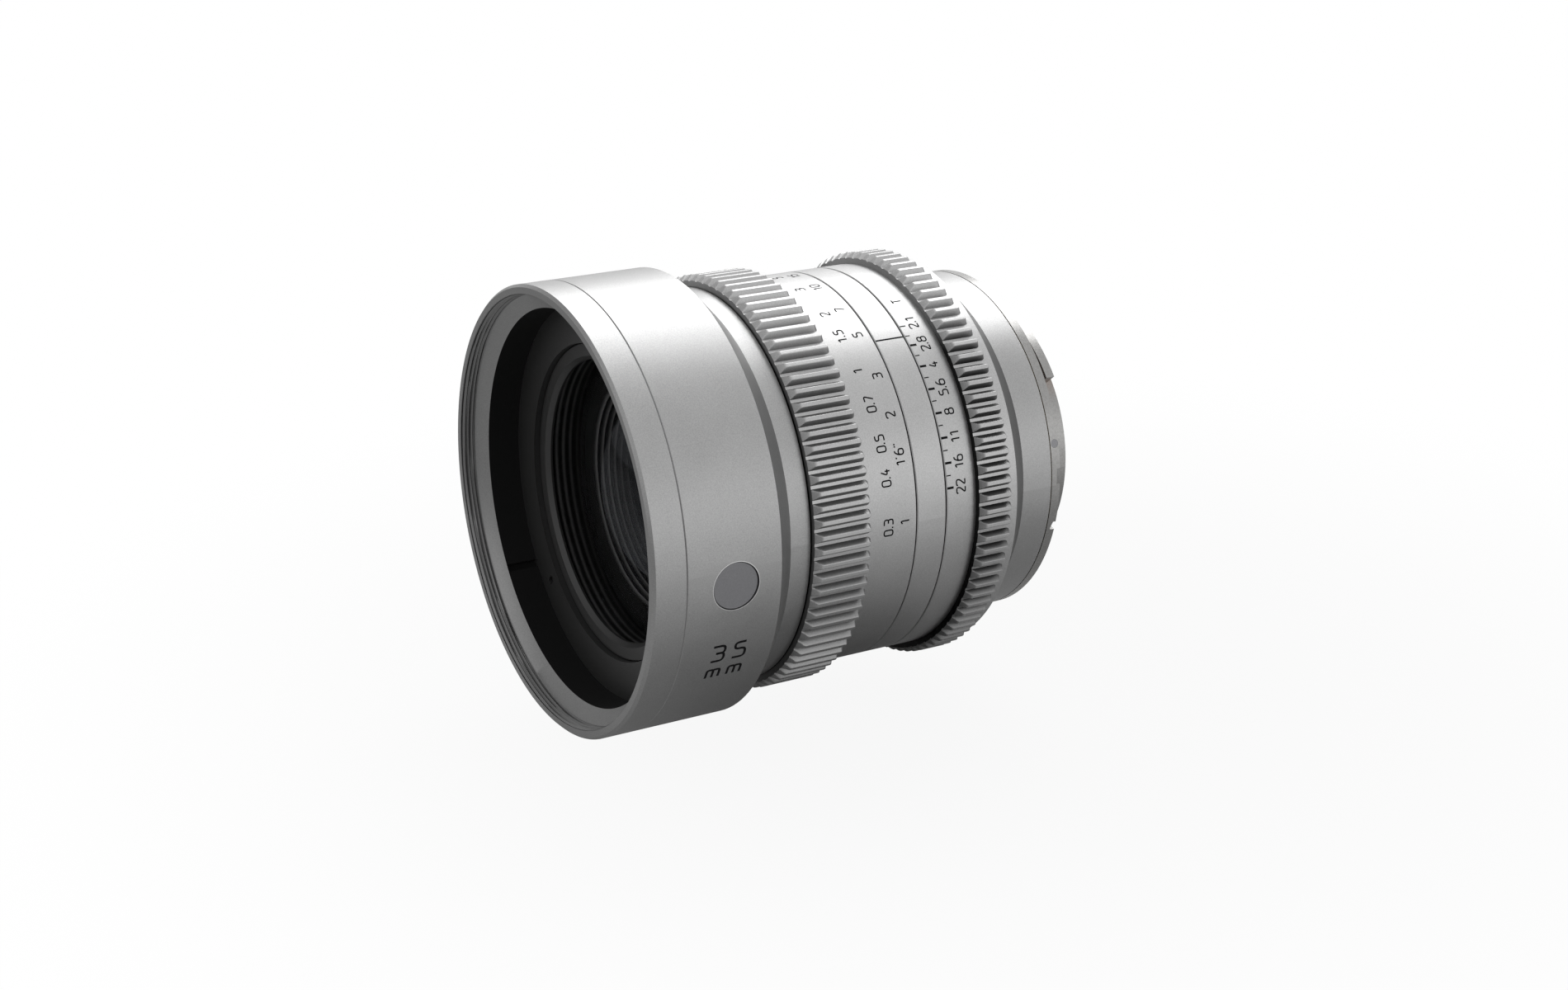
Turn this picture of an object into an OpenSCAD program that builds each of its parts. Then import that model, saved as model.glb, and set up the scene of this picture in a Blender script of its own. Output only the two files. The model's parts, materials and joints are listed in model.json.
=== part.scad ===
// Cinema prime lens with geared focus and iris rings and a three-lug bayonet mount.
// Y is the optical axis: the front of the lens faces -Y and the camera is on the +Y side.
// The origin is the centre of the flange plane. Angles turn about the axis from +X towards +Z.

/* [Outside lengths] */
// Length of the front ring
front_ring_len = 6.2; // [5.6:0.1:8]
// Length of the straight part of the front barrel
barrel_len = 17.6; // [15:0.1:22]
// Length of the cone behind the front barrel
barrel_cone_len = 4.3; // [2:0.1:6]
// Length of the collar in front of the focus ring
collar_len = 3.8; // [3:0.1:6]
// Length of the focus ring
focus_len = 21; // [19:0.1:26]
// Length of the fixed index band
index_len = 5.85; // [4.5:0.05:9]
// Length of the iris ring
iris_len = 14.15; // [12.7:0.05:18]
// Length of the rear barrel's cone
rear_cone_len = 4.3; // [2.5:0.1:6]
// Length of the straight part of the rear barrel
rear_len = 6.05; // [5:0.05:9]

/* [Outside diameters] */
// Outside diameter of the front ring and front barrel
front_d = 80; // [77:0.5:90]
// Wall outside the filter thread
rim_wall = 1.5; // [1:0.1:2.5]
// Outside diameter of the rear barrel and the mount flange
rear_d = 63.6; // [61:0.1:68]
// Bevel on the front rim
rim_bevel = 0.5; // [0.2:0.1:1]
// Bevel on each side of the seams between shells
seam_bevel = 0.15; // [0.1:0.05:0.3]

/* [Gears] */
// Module of the gears on the focus and iris rings
gear_module = 0.8; // [0.76:0.01:0.84]
// Teeth on each gear
gear_teeth = 92; // [88:1:96]
// Length of the focus gear
focus_gear_len = 11.1; // [8:0.1:13]
// Length of the iris gear
iris_gear_len = 6.7; // [5:0.1:7.2]
// Distance from the iris ring's front edge to its gear
iris_scale_len = 6; // [5:0.1:6.5]
// Length of the slope at the front of each tooth
tooth_slope = 1.3; // [0.8:0.1:2.4]
// Step from the scale bands up to the gear roots
root_step = 1; // [0.8:0.05:1.3]

/* [Front opening] */
// Pitch of the filter thread
thread_pitch = 0.75; // [0.5:0.05:1]
// Depth of the filter thread
thread_len = 2.8; // [2:0.1:3.4]
// Step from the thread in to the black sleeve
recess_step = 2.7; // [2:0.1:3.5]
// Depth from the front rim to the black sleeve
lip_depth = 4.4; // [4:0.1:5]
// Wall of the black sleeve
sleeve_tube_wall = 1.8; // [1.2:0.1:2.4]
// Width of the slot in the black sleeve
sleeve_slot_w = 1.4; // [0.8:0.1:2]
// Thickness of the front retaining ring
retainer_t = 1.6; // [1.2:0.1:2.2]
// Length of the front cell's flange
cell_flange_len = 7.5; // [6.8:0.1:8.5]
// Length of the front barrel's hub on the guide tube
hub_len = 12.4; // [11:0.1:14]

/* [Walls and fits] */
// Wall of the focus ring under its scale
focus_wall = 4.5; // [3.5:0.1:5]
// Wall of the cam sleeve
cam_sleeve_wall = 2.45; // [2:0.05:3]
// Wall of the guide tube
guide_wall = 2; // [1.6:0.1:2.4]
// Wall of the iris ring under its scale
iris_wall = 3.45; // [2.6:0.05:4]
// Wall of the sleeve that carries the iris ring
rear_sleeve_wall = 1.8; // [1.4:0.1:2.2]
// Wall of the front cell's spigot
cell_wall = 1.6; // [1.2:0.1:2]
// Axial gap between turning rings and fixed faces
ring_gap = 0.2; // [0.1:0.05:0.3]
// Radial clearance of turning and sliding pieces
running_fit = 0.04; // [0.02:0.01:0.08]
// Radial clearance of pieces that stay seated
seat_fit = 0.02; // [0.01:0.01:0.05]

/* [Focus drive] */
// Turn of the focus ring from rest towards its near end
focus_near_turn = 54; // [45:1:60]
// Turn of the focus ring from rest towards its far end
focus_far_turn = 81; // [60:1:90]
// Travel of the focus group over the whole turn
focus_travel = 5.4; // [4.9:0.1:6]
// Diameter of the cam rollers
roller_d = 2.4; // [2:0.1:2.8]
// Length of the focus cell
focus_cell_len = 15; // [14:0.1:16]
// Edge diameter of the focus elements
focus_glass_d = 44; // [40:0.5:46]

/* [Iris] */
// Number of iris blades
blade_count = 10; // [8:1:10]
// Turn of the iris ring from rest to its widest stop
iris_open_turn = 3.6; // [2:0.1:5]
// Turn of the iris ring from rest to its smallest stop
iris_close_turn = 45.9; // [40:0.1:48]
// Swing of each blade over the whole turn
blade_swing = 31.5; // [27:0.5:33]
// Width of each blade
blade_w = 4; // [3.4:0.1:4.4]
// Thickness of each blade
blade_t = 0.2; // [0.1:0.02:0.24]
// Axial distance from one blade to the next
blade_pitch = 0.3; // [0.26:0.02:0.4]
// Length of each blade's lever
lever_len = 5; // [4.4:0.1:5.4]
// Diameter of the drive pins on the blades
drive_pin_d = 0.8; // [0.6:0.05:0.9]
// Thickness of the iris cam ring
cam_ring_t = 3; // [2.8:0.1:3.6]
// Rim of the iris housing
housing_rim = 4.4; // [3.6:0.1:5]
// Diameter of the pin that joins the iris ring to the cam ring
iris_pin_d = 2; // [1.5:0.1:2.2]

/* [Mount] */
// Thickness of the mount flange
flange_t = 1.75; // [1.5:0.05:2.5]
// Thickness of the shim under the flange
shim_t = 0.2; // [0.1:0.05:0.4]
// Outside diameter of the bayonet tube
tube_d = 48; // [46:0.5:50]
// Wall of the bayonet tube
tube_wall = 2.5; // [2:0.1:3]
// Length of the bayonet tube behind the flange
tube_len = 6.9; // [6:0.1:8]
// Diameter across the bayonet lugs
lug_d = 54; // [52:0.5:56]
// Distance from the flange to the lugs
lug_gap = 3.9; // [3:0.1:4.2]
// Thickness of the lugs
lug_t = 1.7; // [1.2:0.1:2]
// Arc of each lug
lug_arc = 40; // [30:1:60]
// Distance from the flange's edge to its screws
screw_inset = 2.6; // [2.3:0.1:3]

/* [Badge] */
// Diameter of the blank badge
badge_d = 8.6; // [6:0.1:10]
// Depth of the badge's recess
badge_depth = 1.1; // [0.8:0.1:1.6]

/* [Hidden] */
$fn = 96;
full_turn = 360;
sphere_sides = 360;

// Small lengths that many pieces share
cut = 1;
seat_gap = 0.1;
thin_gap = 0.05;
end_gap = 0.3;

silver = "#b9babb";
black = "#1a1a1b";
steel = "#c9c9c6";
brass = "#b08d4f";
white = "#e8e6df";
glass = [0.22, 0.28, 0.32, 0.55];

// Angles of the details that can be seen on the outside
badge_angle = -4.2;
sleeve_slot_angle = -144.4;
notch_angles = [-135.8, 44.2];
first_lug_angle = 38;
dot_angle = 13.9;
lock_notch_angle = 2.9;
edge_notch_angle = -14.7;
focus_tooth_angle = 1.82;
iris_tooth_angle = -0.09;

// Radii of the outside
front_r = front_d / 2;
rear_r = rear_d / 2;
pitch_r = gear_module * gear_teeth / 2;
tip_r = pitch_r + gear_module;
root_ratio = 0.375;
root_r = pitch_r - root_ratio * gear_module;
band_r = root_r - root_step;
cone_step = 0.4;
cone_r = band_r + cone_step;

// Shape of the gear teeth
tip_half_w = 0.45 * gear_module;
root_half_w = 1.222 * gear_module;
tooth_foot = 0.1;
strip_r = root_r + tooth_foot;
tooth_bevel = 0.5;
strip_overlap = 0.5;

// Radii of the front opening
thread_ratio = 0.54;
thread_chamfer = 0.3;
thread_r = front_r - rim_wall - thread_ratio * thread_pitch;
recess_r = thread_r - recess_step;
barrel_bore_r = recess_r + sleeve_tube_wall + seat_fit;

// Radii from the focus ring in to the cells
focus_bore_r = band_r - focus_wall;
cam_out_r = focus_bore_r - seat_fit;
cam_in_r = cam_out_r - cam_sleeve_wall;
guide_out_r = cam_in_r - running_fit;
guide_in_r = guide_out_r - guide_wall;
guide_seat_r = guide_out_r + seat_fit;
cell_r = guide_in_r - seat_fit;
focus_cell_r = guide_in_r - running_fit;
iris_bore_r = band_r - iris_wall;
rear_sleeve_r = iris_bore_r - running_fit;
rear_sleeve_in_r = rear_sleeve_r - rear_sleeve_wall;

// Stations along the axis, from the flange forward
plate_y = -flange_t;
rear_end = plate_y - shim_t;
rear_cone_end = rear_end - rear_len;
rear_front = rear_cone_end - rear_cone_len;
iris_rear = rear_front - ring_gap;
iris_front = iris_rear - iris_len;
index_rear = iris_front - ring_gap;
index_front = index_rear - index_len;
focus_rear = index_front - ring_gap;
focus_front = focus_rear - focus_len;
collar_rear = focus_front - ring_gap;
collar_front = collar_rear - collar_len;
barrel_edge = collar_front - barrel_cone_len;
barrel_front = barrel_edge - barrel_len;
lens_front = barrel_front - front_ring_len;

// Badge
badge_shift = 0.3;
badge_y = barrel_front + barrel_len / 2 + badge_shift;
badge_drop = 0.05;
badge_bevel = 0.2;

// Front group
hub_front = collar_rear - hub_len;
cell_front = hub_front - cell_flange_len;
retainer_front = cell_front - retainer_t;
retainer_w = 9;
retainer_gap = 0.2;
notch_in = 2.6;
notch_out = 4.4;
notch_w = 1.2;
notch_depth = 0.7;
lip_y = lens_front + lip_depth;
sleeve_slot_depth = 1;
bezel_r = barrel_bore_r - retainer_w;
bezel_wall = 1.6;
bezel_overlap = 1.3;
bezel_t = 1.25;
bezel_edge = 0.4;
bezel_slope = 0.7;
glass1_r = bezel_r - bezel_wall;
glass1_ledge = 1.75;
glass1_inset = 0.5;
glass1_len = 9.8;
glass1_t = 2.2;
glass1_rear = hub_front - glass1_inset;
glass1_front = glass1_rear - glass1_len;
glass1_front_curve = 90;
glass1_rear_curve = 32;
bezel_in_r = glass1_r - bezel_overlap;
bezel_rear = glass1_front + sag(glass1_front_curve, bezel_in_r) - seat_gap;
spigot_bore_r = min(cell_r - cell_wall, glass1_r - glass1_ledge);
spigot_proud = 1.1;
front_cell_rear = collar_rear + spigot_proud;
cell_ring_t = 2;
cell_ring_step = 0.6;
glass2_r = spigot_bore_r - seat_fit;
glass2_len = 8.5;
glass2_t = 1.8;
glass2_rear = front_cell_rear - cell_ring_t - thin_gap;
glass2_front = glass2_rear - glass2_len;
glass2_front_curve = 60;
glass2_rear_curve = 26;
spacer_w = 7.3;
spacer_front_w = 3.9;
spacer_in_r = spigot_bore_r - spacer_w;
spacer_front_r = spigot_bore_r - spacer_front_w;
spacer_front = glass1_rear + thin_gap;
spacer_rear = glass2_front + sag(glass2_front_curve, spacer_in_r) - seat_gap;
spacer_ridges = 6;
ridge_h = 0.45;
ridge_shape = [[1, 0.12], [0, 0.5], [1, 0.88]];

// Focus drive: the roller's path on the cam sleeve climbs with the angle
focus_turn = focus_near_turn + focus_far_turn;
roller_r = roller_d / 2;
roller_wall = 0.6;
roller_pin_r = roller_r - roller_wall;
roller_inset = 11.9;
roller_y = focus_front + roller_inset;
roller_angles = [30, 150, 270];
roller_slot_r = roller_r + running_fit;
roller_forward = focus_travel * focus_near_turn / focus_turn;
roller_back = focus_travel * focus_far_turn / focus_turn;
pin_seat = 2.6;
cam_front = focus_front + end_gap;
cam_rear = focus_rear - end_gap;
cam_mid_r = (cam_in_r + cam_out_r) / 2;
cam_slot_steps = 12;
cam_slot_spare = 4;
cam_slot_overlap = 0.3;
key_inset = 3.4;
key_seat = 2.2;
key_y = focus_front + key_inset;
key_r = 1.25;
key_angles = [90, 210, 330];
stop_pin_r = 0.9;
stop_angle = 240;
stop_depth = 1.6;
stop_seat = 2;
stop_slot_spare = 4;
washer_t = 0.3;
washer_inset = 0.2;

// Focus group
focus_cell_front = roller_y - focus_cell_len / 2;
focus_cell_rear = roller_y + focus_cell_len / 2;
glass3_r = focus_glass_d / 2;
glass3_front_curve = 60;
glass3_rear_curve = 70;
glass3_inset = 0.8;
glass3_seat_w = 1;
glass3_edge_t = 1.88;
glass3_front = focus_cell_front + glass3_inset;
glass3_t = sag(glass3_front_curve, glass3_r) + sag(glass3_rear_curve, glass3_r) + glass3_edge_t;
glass3_rear = glass3_front + glass3_t;
glass3_seat = glass3_front + sag(glass3_front_curve, glass3_r - glass3_seat_w) - seat_gap;
glass4_t = 1.6;
glass4_lip = 2.2;
glass4_rear = glass3_rear + glass4_t;
glass4_rear_curve = 90;
glass4_edge = glass4_rear + sag(glass4_rear_curve, glass3_r - glass4_lip);
focus_ring_t = 1.4;

// Iris unit
iris_pin_inset = 2.45;
iris_pin_seat = 2.2;
cam_pin_seat = 1.3;
pin_slot_gap = 0.15;
iris_pin_y = iris_front + iris_pin_inset;
iris_pin_angle = 200;
pin_slot_margin = 5;
cam_ring_front = iris_pin_y - cam_ring_t / 2;
cam_ring_rear = iris_pin_y + cam_ring_t / 2;
iris_cover_t = 1.1;
iris_cover_front = cam_ring_front - ring_gap - iris_cover_t;
housing_front = cam_ring_front - ring_gap;
blades_front = cam_ring_rear + ring_gap;
blades_rear = blades_front + blade_count * blade_pitch;
base_front = blades_rear + ring_gap;
base_t = 1.6;
base_rear = base_front + base_t;
cam_bore_r = cell_r - housing_rim;
cam_ring_r = cam_bore_r - running_fit;
pivot_inset = 6.6;
blade_pivot_r = cam_ring_r - pivot_inset;
pivot_pin_r = 0.6;
pivot_boss_r = 1.4;
blade_neck = 2.2;
blade_out_r = blade_pivot_r - blade_neck;
blade_in_r = blade_out_r - blade_w;
blade_arc = 115;
blade_tail = 5;
blade_corners = 4;
blade_merge = 0.3;
blade_edge = 0.1;
aperture_step = 0.2;
aperture_r = blade_in_r - aperture_step;
drive_pin_r = drive_pin_d / 2;
drive_fit = 0.06;
drive_slot_r = drive_pin_r + drive_fit;
drive_boss_r = 1;
iris_turn = iris_open_turn + iris_close_turn;
blade_ratio = blade_swing / iris_turn;
cam_ring_step = 0.2;
cam_ring_in_r = blade_pivot_r - cam_ring_step;
cover_lip = 1.2;
blade_room_step = 1.5;
blade_room_r = cam_bore_r - blade_room_step;
drive_slot_steps = 10;
drive_slot_spare = 2.6;
small_turn = 0.1;
iris_screw_angles = [20, 110, 320];
iris_screw_depth = 2.5;
iris_head_h = 0.6;
rim_mid_r = (cam_bore_r + cell_r) / 2;

// Rear group
ledge_inset = 2.3;
rear_ledge = rear_front + ledge_inset;
guide_rear = rear_ledge - thin_gap;
guide_seat_len = 8;
guide_seat_front = rear_ledge - guide_seat_len;
rear_sleeve_gap = 0.35;
rear_sleeve_front = index_rear + rear_sleeve_gap;
hub_step = 0.5;
rear_hub_r = tube_d / 2 - tube_wall + hub_step;
rear_cell_r = rear_hub_r - seat_fit;
rear_cell_gap = 1.2;
rear_cell_front = base_rear + rear_cell_gap;
rear_cell_rear = 2;
tube_gap = 0.4;
glass5_r = 15;
glass5_lip = 2.4;
glass5_inset = 3;
glass5_t = 1.5;
glass5_front = rear_cell_front + glass5_inset;
glass5_front_curve = 45;
glass5_rear = glass5_front + glass5_t;
glass5_edge = glass5_front - sag(glass5_front_curve, glass5_r - glass5_lip);
glass6_front_curve = 50;
glass6_rear_curve = 38;
glass6_edge_t = 0.6;
glass6_t = sag(glass6_front_curve, glass5_r) + sag(glass6_rear_curve, glass5_r) + glass6_edge_t;
glass6_rear = glass5_rear + glass6_t;
rear_stop_w = 1.5;
rear_stop_r = glass5_r - rear_stop_w;
rear_stop_front = glass6_rear - sag(glass6_rear_curve, rear_stop_r) + seat_gap;
glass7_r = 16.5;
glass7_lip = 2;
glass7_curve = 60;
glass7_edge_t = 0.87;
rear_air = 0.5;
glass7_front = glass6_rear + rear_air;
glass7_rear = glass7_front + 2 * sag(glass7_curve, glass7_r) + glass7_edge_t;
rear_stop_rear = glass7_front + sag(glass7_curve, rear_stop_r) - seat_gap;
rear_ring_in_r = glass7_r - glass7_lip;
rear_ring_front = glass7_rear - sag(glass7_curve, rear_ring_in_r) + seat_gap;
rear_ring_t = 1.8;

// Mount
tube_r = tube_d / 2;
tube_in_r = tube_r - tube_wall;
lug_r = lug_d / 2;
screw_circle_r = rear_r - screw_inset;
screw_r = 0.9;
screw_head_r = 1.7;
screw_head_h = 1;
screw_len = 4.6;
screw_count = 6;
first_screw_angle = 8;
screw_angles = [for (i = [0:screw_count - 1]) first_screw_angle + i * full_turn / screw_count];
shim_inset = 0.4;
shim_hole_gap = 0.2;
lug_count = 3;
lug_root = 0.2;
lock_notch_w = 3;
lock_notch_depth = 2;
lock_notch_t = 0.7;
edge_notch_w = 1.6;
edge_notch_depth = 1;
edge_notch_t = 1;
dot_r = 0.75;
dot_depth = 0.6;
baffle_t = 1.6;
baffle_inset = 1.2;
baffle_rear = tube_len - baffle_inset;
baffle_window = [26, 18];
baffle_screw_angles = [90, 210, 330];
baffle_screw_r = 0.7;
baffle_ledge_w = 3;
baffle_screw_circle_r = tube_in_r - tube_gap - baffle_ledge_w / 2;

// Dowel pins that hold the shells on the guide tube
dowel_r = 1;
dowel_seat = 1.4;
dowel_in_r = guide_in_r + seat_gap;
dowel_out_r = guide_out_r + dowel_seat;
dowel_angles = [70, 190, 310];
front_dowel_inset = 3;
rear_dowel_inset = 5;
dowel_stations = [collar_front - front_dowel_inset, (index_front + index_rear) / 2,
    rear_ledge - rear_dowel_inset];

// Height of a spherical cap of the given curve at a radius
function sag(curve, r) = curve - sqrt(curve * curve - r * r);

// A point turned about the axis
function turned_point(p, a) = [p[0] * cos(a) - p[1] * sin(a), p[0] * sin(a) + p[1] * cos(a)];

// The drive pin of a blade at a ring turn counted from the widest stop, in the cam ring's rest frame
function drive_pin_point(turn) =
    let (swing = blade_ratio * turn)
    turned_point([blade_pivot_r + lever_len * sin(swing), -lever_len * cos(swing)], iris_open_turn - turn);

// Flat outline drawn in X and Z, filled from one station to another
module plate(from, to) {
    translate([0, to, 0]) rotate([90, 0, 0]) linear_extrude(to - from) children();
}

// Outline of radius and station, turned about the axis between two angles
module turned(outline, from = 0, to = full_turn) {
    profile = [for (p = outline) [p[0], -p[1]]];
    rotate([90, 0, 0]) rotate([0, 0, from]) rotate_extrude(angle = to - from) polygon(profile);
}

// Plain tube round the axis
module tube(in_r, out_r, from, to) {
    turned([[in_r, from], [out_r, from], [out_r, to], [in_r, to]]);
}

// Plain disc on the axis
module disc(r, from, to) {
    translate([0, to, 0]) rotate([90, 0, 0]) cylinder(r = r, h = to - from);
}

// Part of a tube between two angles
module arc_tube(in_r, out_r, from, to, start, end) {
    turned([[in_r, from], [out_r, from], [out_r, to], [in_r, to]], start, end);
}

// Round bar that points away from the axis
module radial_bar(angle, y, from, to, r) {
    rotate([0, -angle, 0]) translate([from, y, 0]) rotate([0, 90, 0]) cylinder(r = r, h = to - from);
}

// Round bar along the axis, at an angle and a radius
module axial_bar(angle, at_r, from, to, r) {
    rotate([0, -angle, 0]) translate([at_r, to, 0]) rotate([90, 0, 0]) cylinder(r = r, h = to - from);
}

// Block that points away from the axis, turned by a climb angle
module radial_block(angle, y, from, to, across, along, climb = 0) {
    rotate([0, -angle, 0]) translate([(from + to) / 2, y, 0]) rotate([climb, 0, 0])
        cube([to - from, along, across], center = true);
}

// Gear teeth with a sloped front and a small bevel behind
module gear_band(from, to, phase) {
    step = full_turn / gear_teeth;
    tip_half = atan(tip_half_w / tip_r);
    root_half = atan(root_half_w / root_r);
    outline = [for (i = [0:gear_teeth - 1]) for (c = [[root_r, -root_half], [tip_r, -tip_half],
        [tip_r, tip_half], [root_r, root_half]]) turned_point([c[0], 0], phase + i * step + c[1])];
    intersection() {
        plate(from, to) polygon(outline);
        turned([[0, from], [root_r + tooth_foot, from], [tip_r, from + tooth_slope],
            [tip_r, to - tooth_bevel], [tip_r - tooth_bevel, to], [0, to]]);
    }
}

// Slot round the axis that the iris drive pin moves in
module iris_pin_slot(in_r, out_r) {
    half = iris_pin_d / 2 + pin_slot_gap;
    arc_tube(in_r, out_r, iris_pin_y - half, iris_pin_y + half,
        iris_pin_angle - iris_open_turn - pin_slot_margin, iris_pin_angle + iris_close_turn + pin_slot_margin);
}

// Glass element between a curved front and a curved back: a negative curve bulges the other way
module element(r, from, to, front, front_curve, back, back_curve) {
    difference() {
        intersection() {
            disc(r, from, to);
            if (front_curve > 0) translate([0, front + front_curve, 0]) sphere(front_curve, $fn = sphere_sides);
            if (back_curve < 0) translate([0, back + back_curve, 0]) sphere(-back_curve, $fn = sphere_sides);
        }
        if (front_curve < 0) translate([0, front + front_curve, 0]) sphere(-front_curve, $fn = sphere_sides);
        if (back_curve > 0) translate([0, back + back_curve, 0]) sphere(back_curve, $fn = sphere_sides);
    }
}

module front_ring() {
    color(silver) turned([[thread_r, lens_front + thread_len], [thread_r, lens_front + thread_chamfer],
        [thread_r + thread_chamfer, lens_front], [front_r - rim_bevel, lens_front],
        [front_r, lens_front + rim_bevel], [front_r, barrel_front - seam_bevel],
        [front_r - seam_bevel, barrel_front],
        [barrel_bore_r, barrel_front], [barrel_bore_r, lip_y], [recess_r, lip_y]]);
}

module front_barrel() {
    color(silver) difference() {
        turned([[barrel_bore_r, barrel_front], [front_r - seam_bevel, barrel_front],
            [front_r, barrel_front + seam_bevel], [front_r, barrel_edge], [band_r, collar_front],
            [band_r, collar_rear], [guide_seat_r, collar_rear], [guide_seat_r, hub_front],
            [barrel_bore_r, hub_front]]);
        radial_bar(badge_angle, badge_y, front_r - badge_depth, front_r + cut, badge_d / 2);
        for (a = dowel_angles) radial_bar(a, dowel_stations[0], guide_in_r, dowel_out_r, dowel_r + seat_fit);
    }
}

module blank_badge() {
    r = badge_d / 2 - seat_fit;
    h = sqrt(front_r * front_r - badge_d * badge_d / 4) - badge_drop - front_r + badge_depth;
    color("#8d8e90") rotate([0, -badge_angle, 0]) translate([front_r - badge_depth, badge_y, 0])
        rotate([0, 90, 0]) rotate_extrude() polygon([[0, 0], [r, 0], [r, h - badge_bevel],
            [r - badge_bevel, h], [0, h]]);
}

module front_sleeve() {
    color(black) difference() {
        tube(recess_r, barrel_bore_r - seat_fit, lip_y, retainer_front);
        radial_block(sleeve_slot_angle, (lip_y + retainer_front) / 2, recess_r - cut,
            recess_r + sleeve_slot_depth, sleeve_slot_w, retainer_front - lip_y + cut);
    }
}

module front_retaining_ring() {
    color("#303133") difference() {
        tube(bezel_r + retainer_gap, barrel_bore_r - seat_fit, retainer_front, cell_front);
        for (a = notch_angles)
            radial_block(a, retainer_front, bezel_r + notch_in, bezel_r + notch_out, notch_w, 2 * notch_depth);
    }
}

module front_bezel() {
    color("#3a3b3d") turned([[bezel_in_r, bezel_rear], [bezel_in_r, bezel_rear - bezel_edge],
        [bezel_in_r + bezel_slope, bezel_rear - bezel_t], [bezel_r, bezel_rear - bezel_t],
        [bezel_r, bezel_rear]]);
}

module front_cell() {
    color(black) turned([[bezel_r + seat_fit, cell_front], [barrel_bore_r - seat_fit, cell_front],
        [barrel_bore_r - seat_fit, hub_front], [cell_r, hub_front], [cell_r, front_cell_rear],
        [spigot_bore_r, front_cell_rear], [spigot_bore_r, glass1_rear],
        [glass1_r + seat_fit, glass1_rear], [glass1_r + seat_fit, bezel_rear],
        [bezel_r + seat_fit, bezel_rear]]);
}

module front_element() {
    color(glass) element(glass1_r, glass1_front - cut, glass1_rear, glass1_front, glass1_front_curve,
        glass1_front + glass1_t, glass1_rear_curve);
}

module ridged_spacer() {
    ridge_len = (spacer_rear - spacer_front) / spacer_ridges;
    drop = (spacer_front_r - spacer_in_r) / spacer_ridges;
    ridges = [for (i = [0:spacer_ridges - 1])
        for (c = ridge_shape)
            [spacer_front_r - (i + c[1]) * drop + ridge_h * c[0], spacer_front + (i + c[1]) * ridge_len]];
    color(black) turned(concat([[spigot_bore_r - seat_fit, spacer_rear],
        [spigot_bore_r - seat_fit, spacer_front], [spacer_front_r + ridge_h, spacer_front]], ridges,
        [[spacer_in_r + ridge_h, spacer_rear]]));
}

module second_element() {
    color(glass) element(glass2_r, glass2_front - cut, glass2_rear, glass2_front, glass2_front_curve,
        glass2_front + glass2_t, glass2_rear_curve);
}

module front_cell_ring() {
    color(black) tube(spacer_in_r + cell_ring_step, spigot_bore_r - seat_fit,
        front_cell_rear - cell_ring_t, front_cell_rear);
}

module guide_tube() {
    slot_front = roller_y - roller_forward - end_gap;
    slot_rear = roller_y + roller_back + end_gap;
    color("#4a4b4d") difference() {
        tube(guide_in_r, guide_out_r, hub_front + seat_gap, guide_rear);
        for (a = roller_angles) {
            radial_block(a, (slot_front + slot_rear) / 2, guide_in_r - cut, guide_out_r + cut,
                2 * roller_slot_r, slot_rear - slot_front);
            for (y = [slot_front, slot_rear])
                radial_bar(a, y, guide_in_r - cut, guide_out_r + cut, roller_slot_r);
        }
        iris_pin_slot(guide_in_r - cut, guide_out_r + cut);
        for (y = dowel_stations) for (a = dowel_angles)
            radial_bar(a, y, guide_in_r - cut, guide_out_r + cut, dowel_r + seat_fit);
    }
}

module dowel_pins() {
    color(steel) for (y = dowel_stations) for (a = dowel_angles)
        radial_bar(a, y, dowel_in_r, dowel_out_r - seat_gap, dowel_r);
}

module index_band() {
    color(silver) difference() {
        turned([[guide_seat_r, index_front], [band_r - seam_bevel, index_front],
            [band_r, index_front + seam_bevel], [band_r, index_rear - seam_bevel],
            [band_r - seam_bevel, index_rear], [guide_seat_r, index_rear]]);
        for (a = dowel_angles) radial_bar(a, dowel_stations[1], guide_in_r, dowel_out_r, dowel_r + seat_fit);
        axial_bar(stop_angle, cam_mid_r, index_front - cut, index_front + stop_seat, stop_pin_r + seat_fit);
    }
}

module focus_stop_pin() {
    color(steel) axial_bar(stop_angle, cam_mid_r, cam_rear - stop_depth + end_gap,
        index_front + stop_seat - seat_gap, stop_pin_r);
}

module front_slip_washer() {
    color(white) tube(cam_in_r + washer_inset, cam_out_r - washer_inset, collar_rear, collar_rear + washer_t);
}

module rear_slip_washer() {
    color(white) difference() {
        tube(cam_in_r + washer_inset, cam_out_r - washer_inset, index_front - washer_t, index_front);
        axial_bar(stop_angle, cam_mid_r, index_front - cut, index_front + cut, stop_pin_r + seat_fit);
    }
}

module iris_housing() {
    color(black) difference() {
        turned([[aperture_r, base_front], [blade_room_r, base_front], [blade_room_r, cam_ring_rear + seat_gap],
            [cam_bore_r, cam_ring_rear + seat_gap], [cam_bore_r, housing_front], [cell_r, housing_front],
            [cell_r, base_rear], [aperture_r, base_rear]]);
        iris_pin_slot(cam_bore_r - cut, cell_r + cut);
        for (i = [0:blade_count - 1])
            axial_bar(i * full_turn / blade_count, blade_pivot_r, base_front - cut, base_rear + cut,
                pivot_pin_r + running_fit);
        for (a = iris_screw_angles)
            axial_bar(a, rim_mid_r, housing_front - cut, housing_front + iris_screw_depth, screw_r + seat_fit);
    }
}

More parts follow.
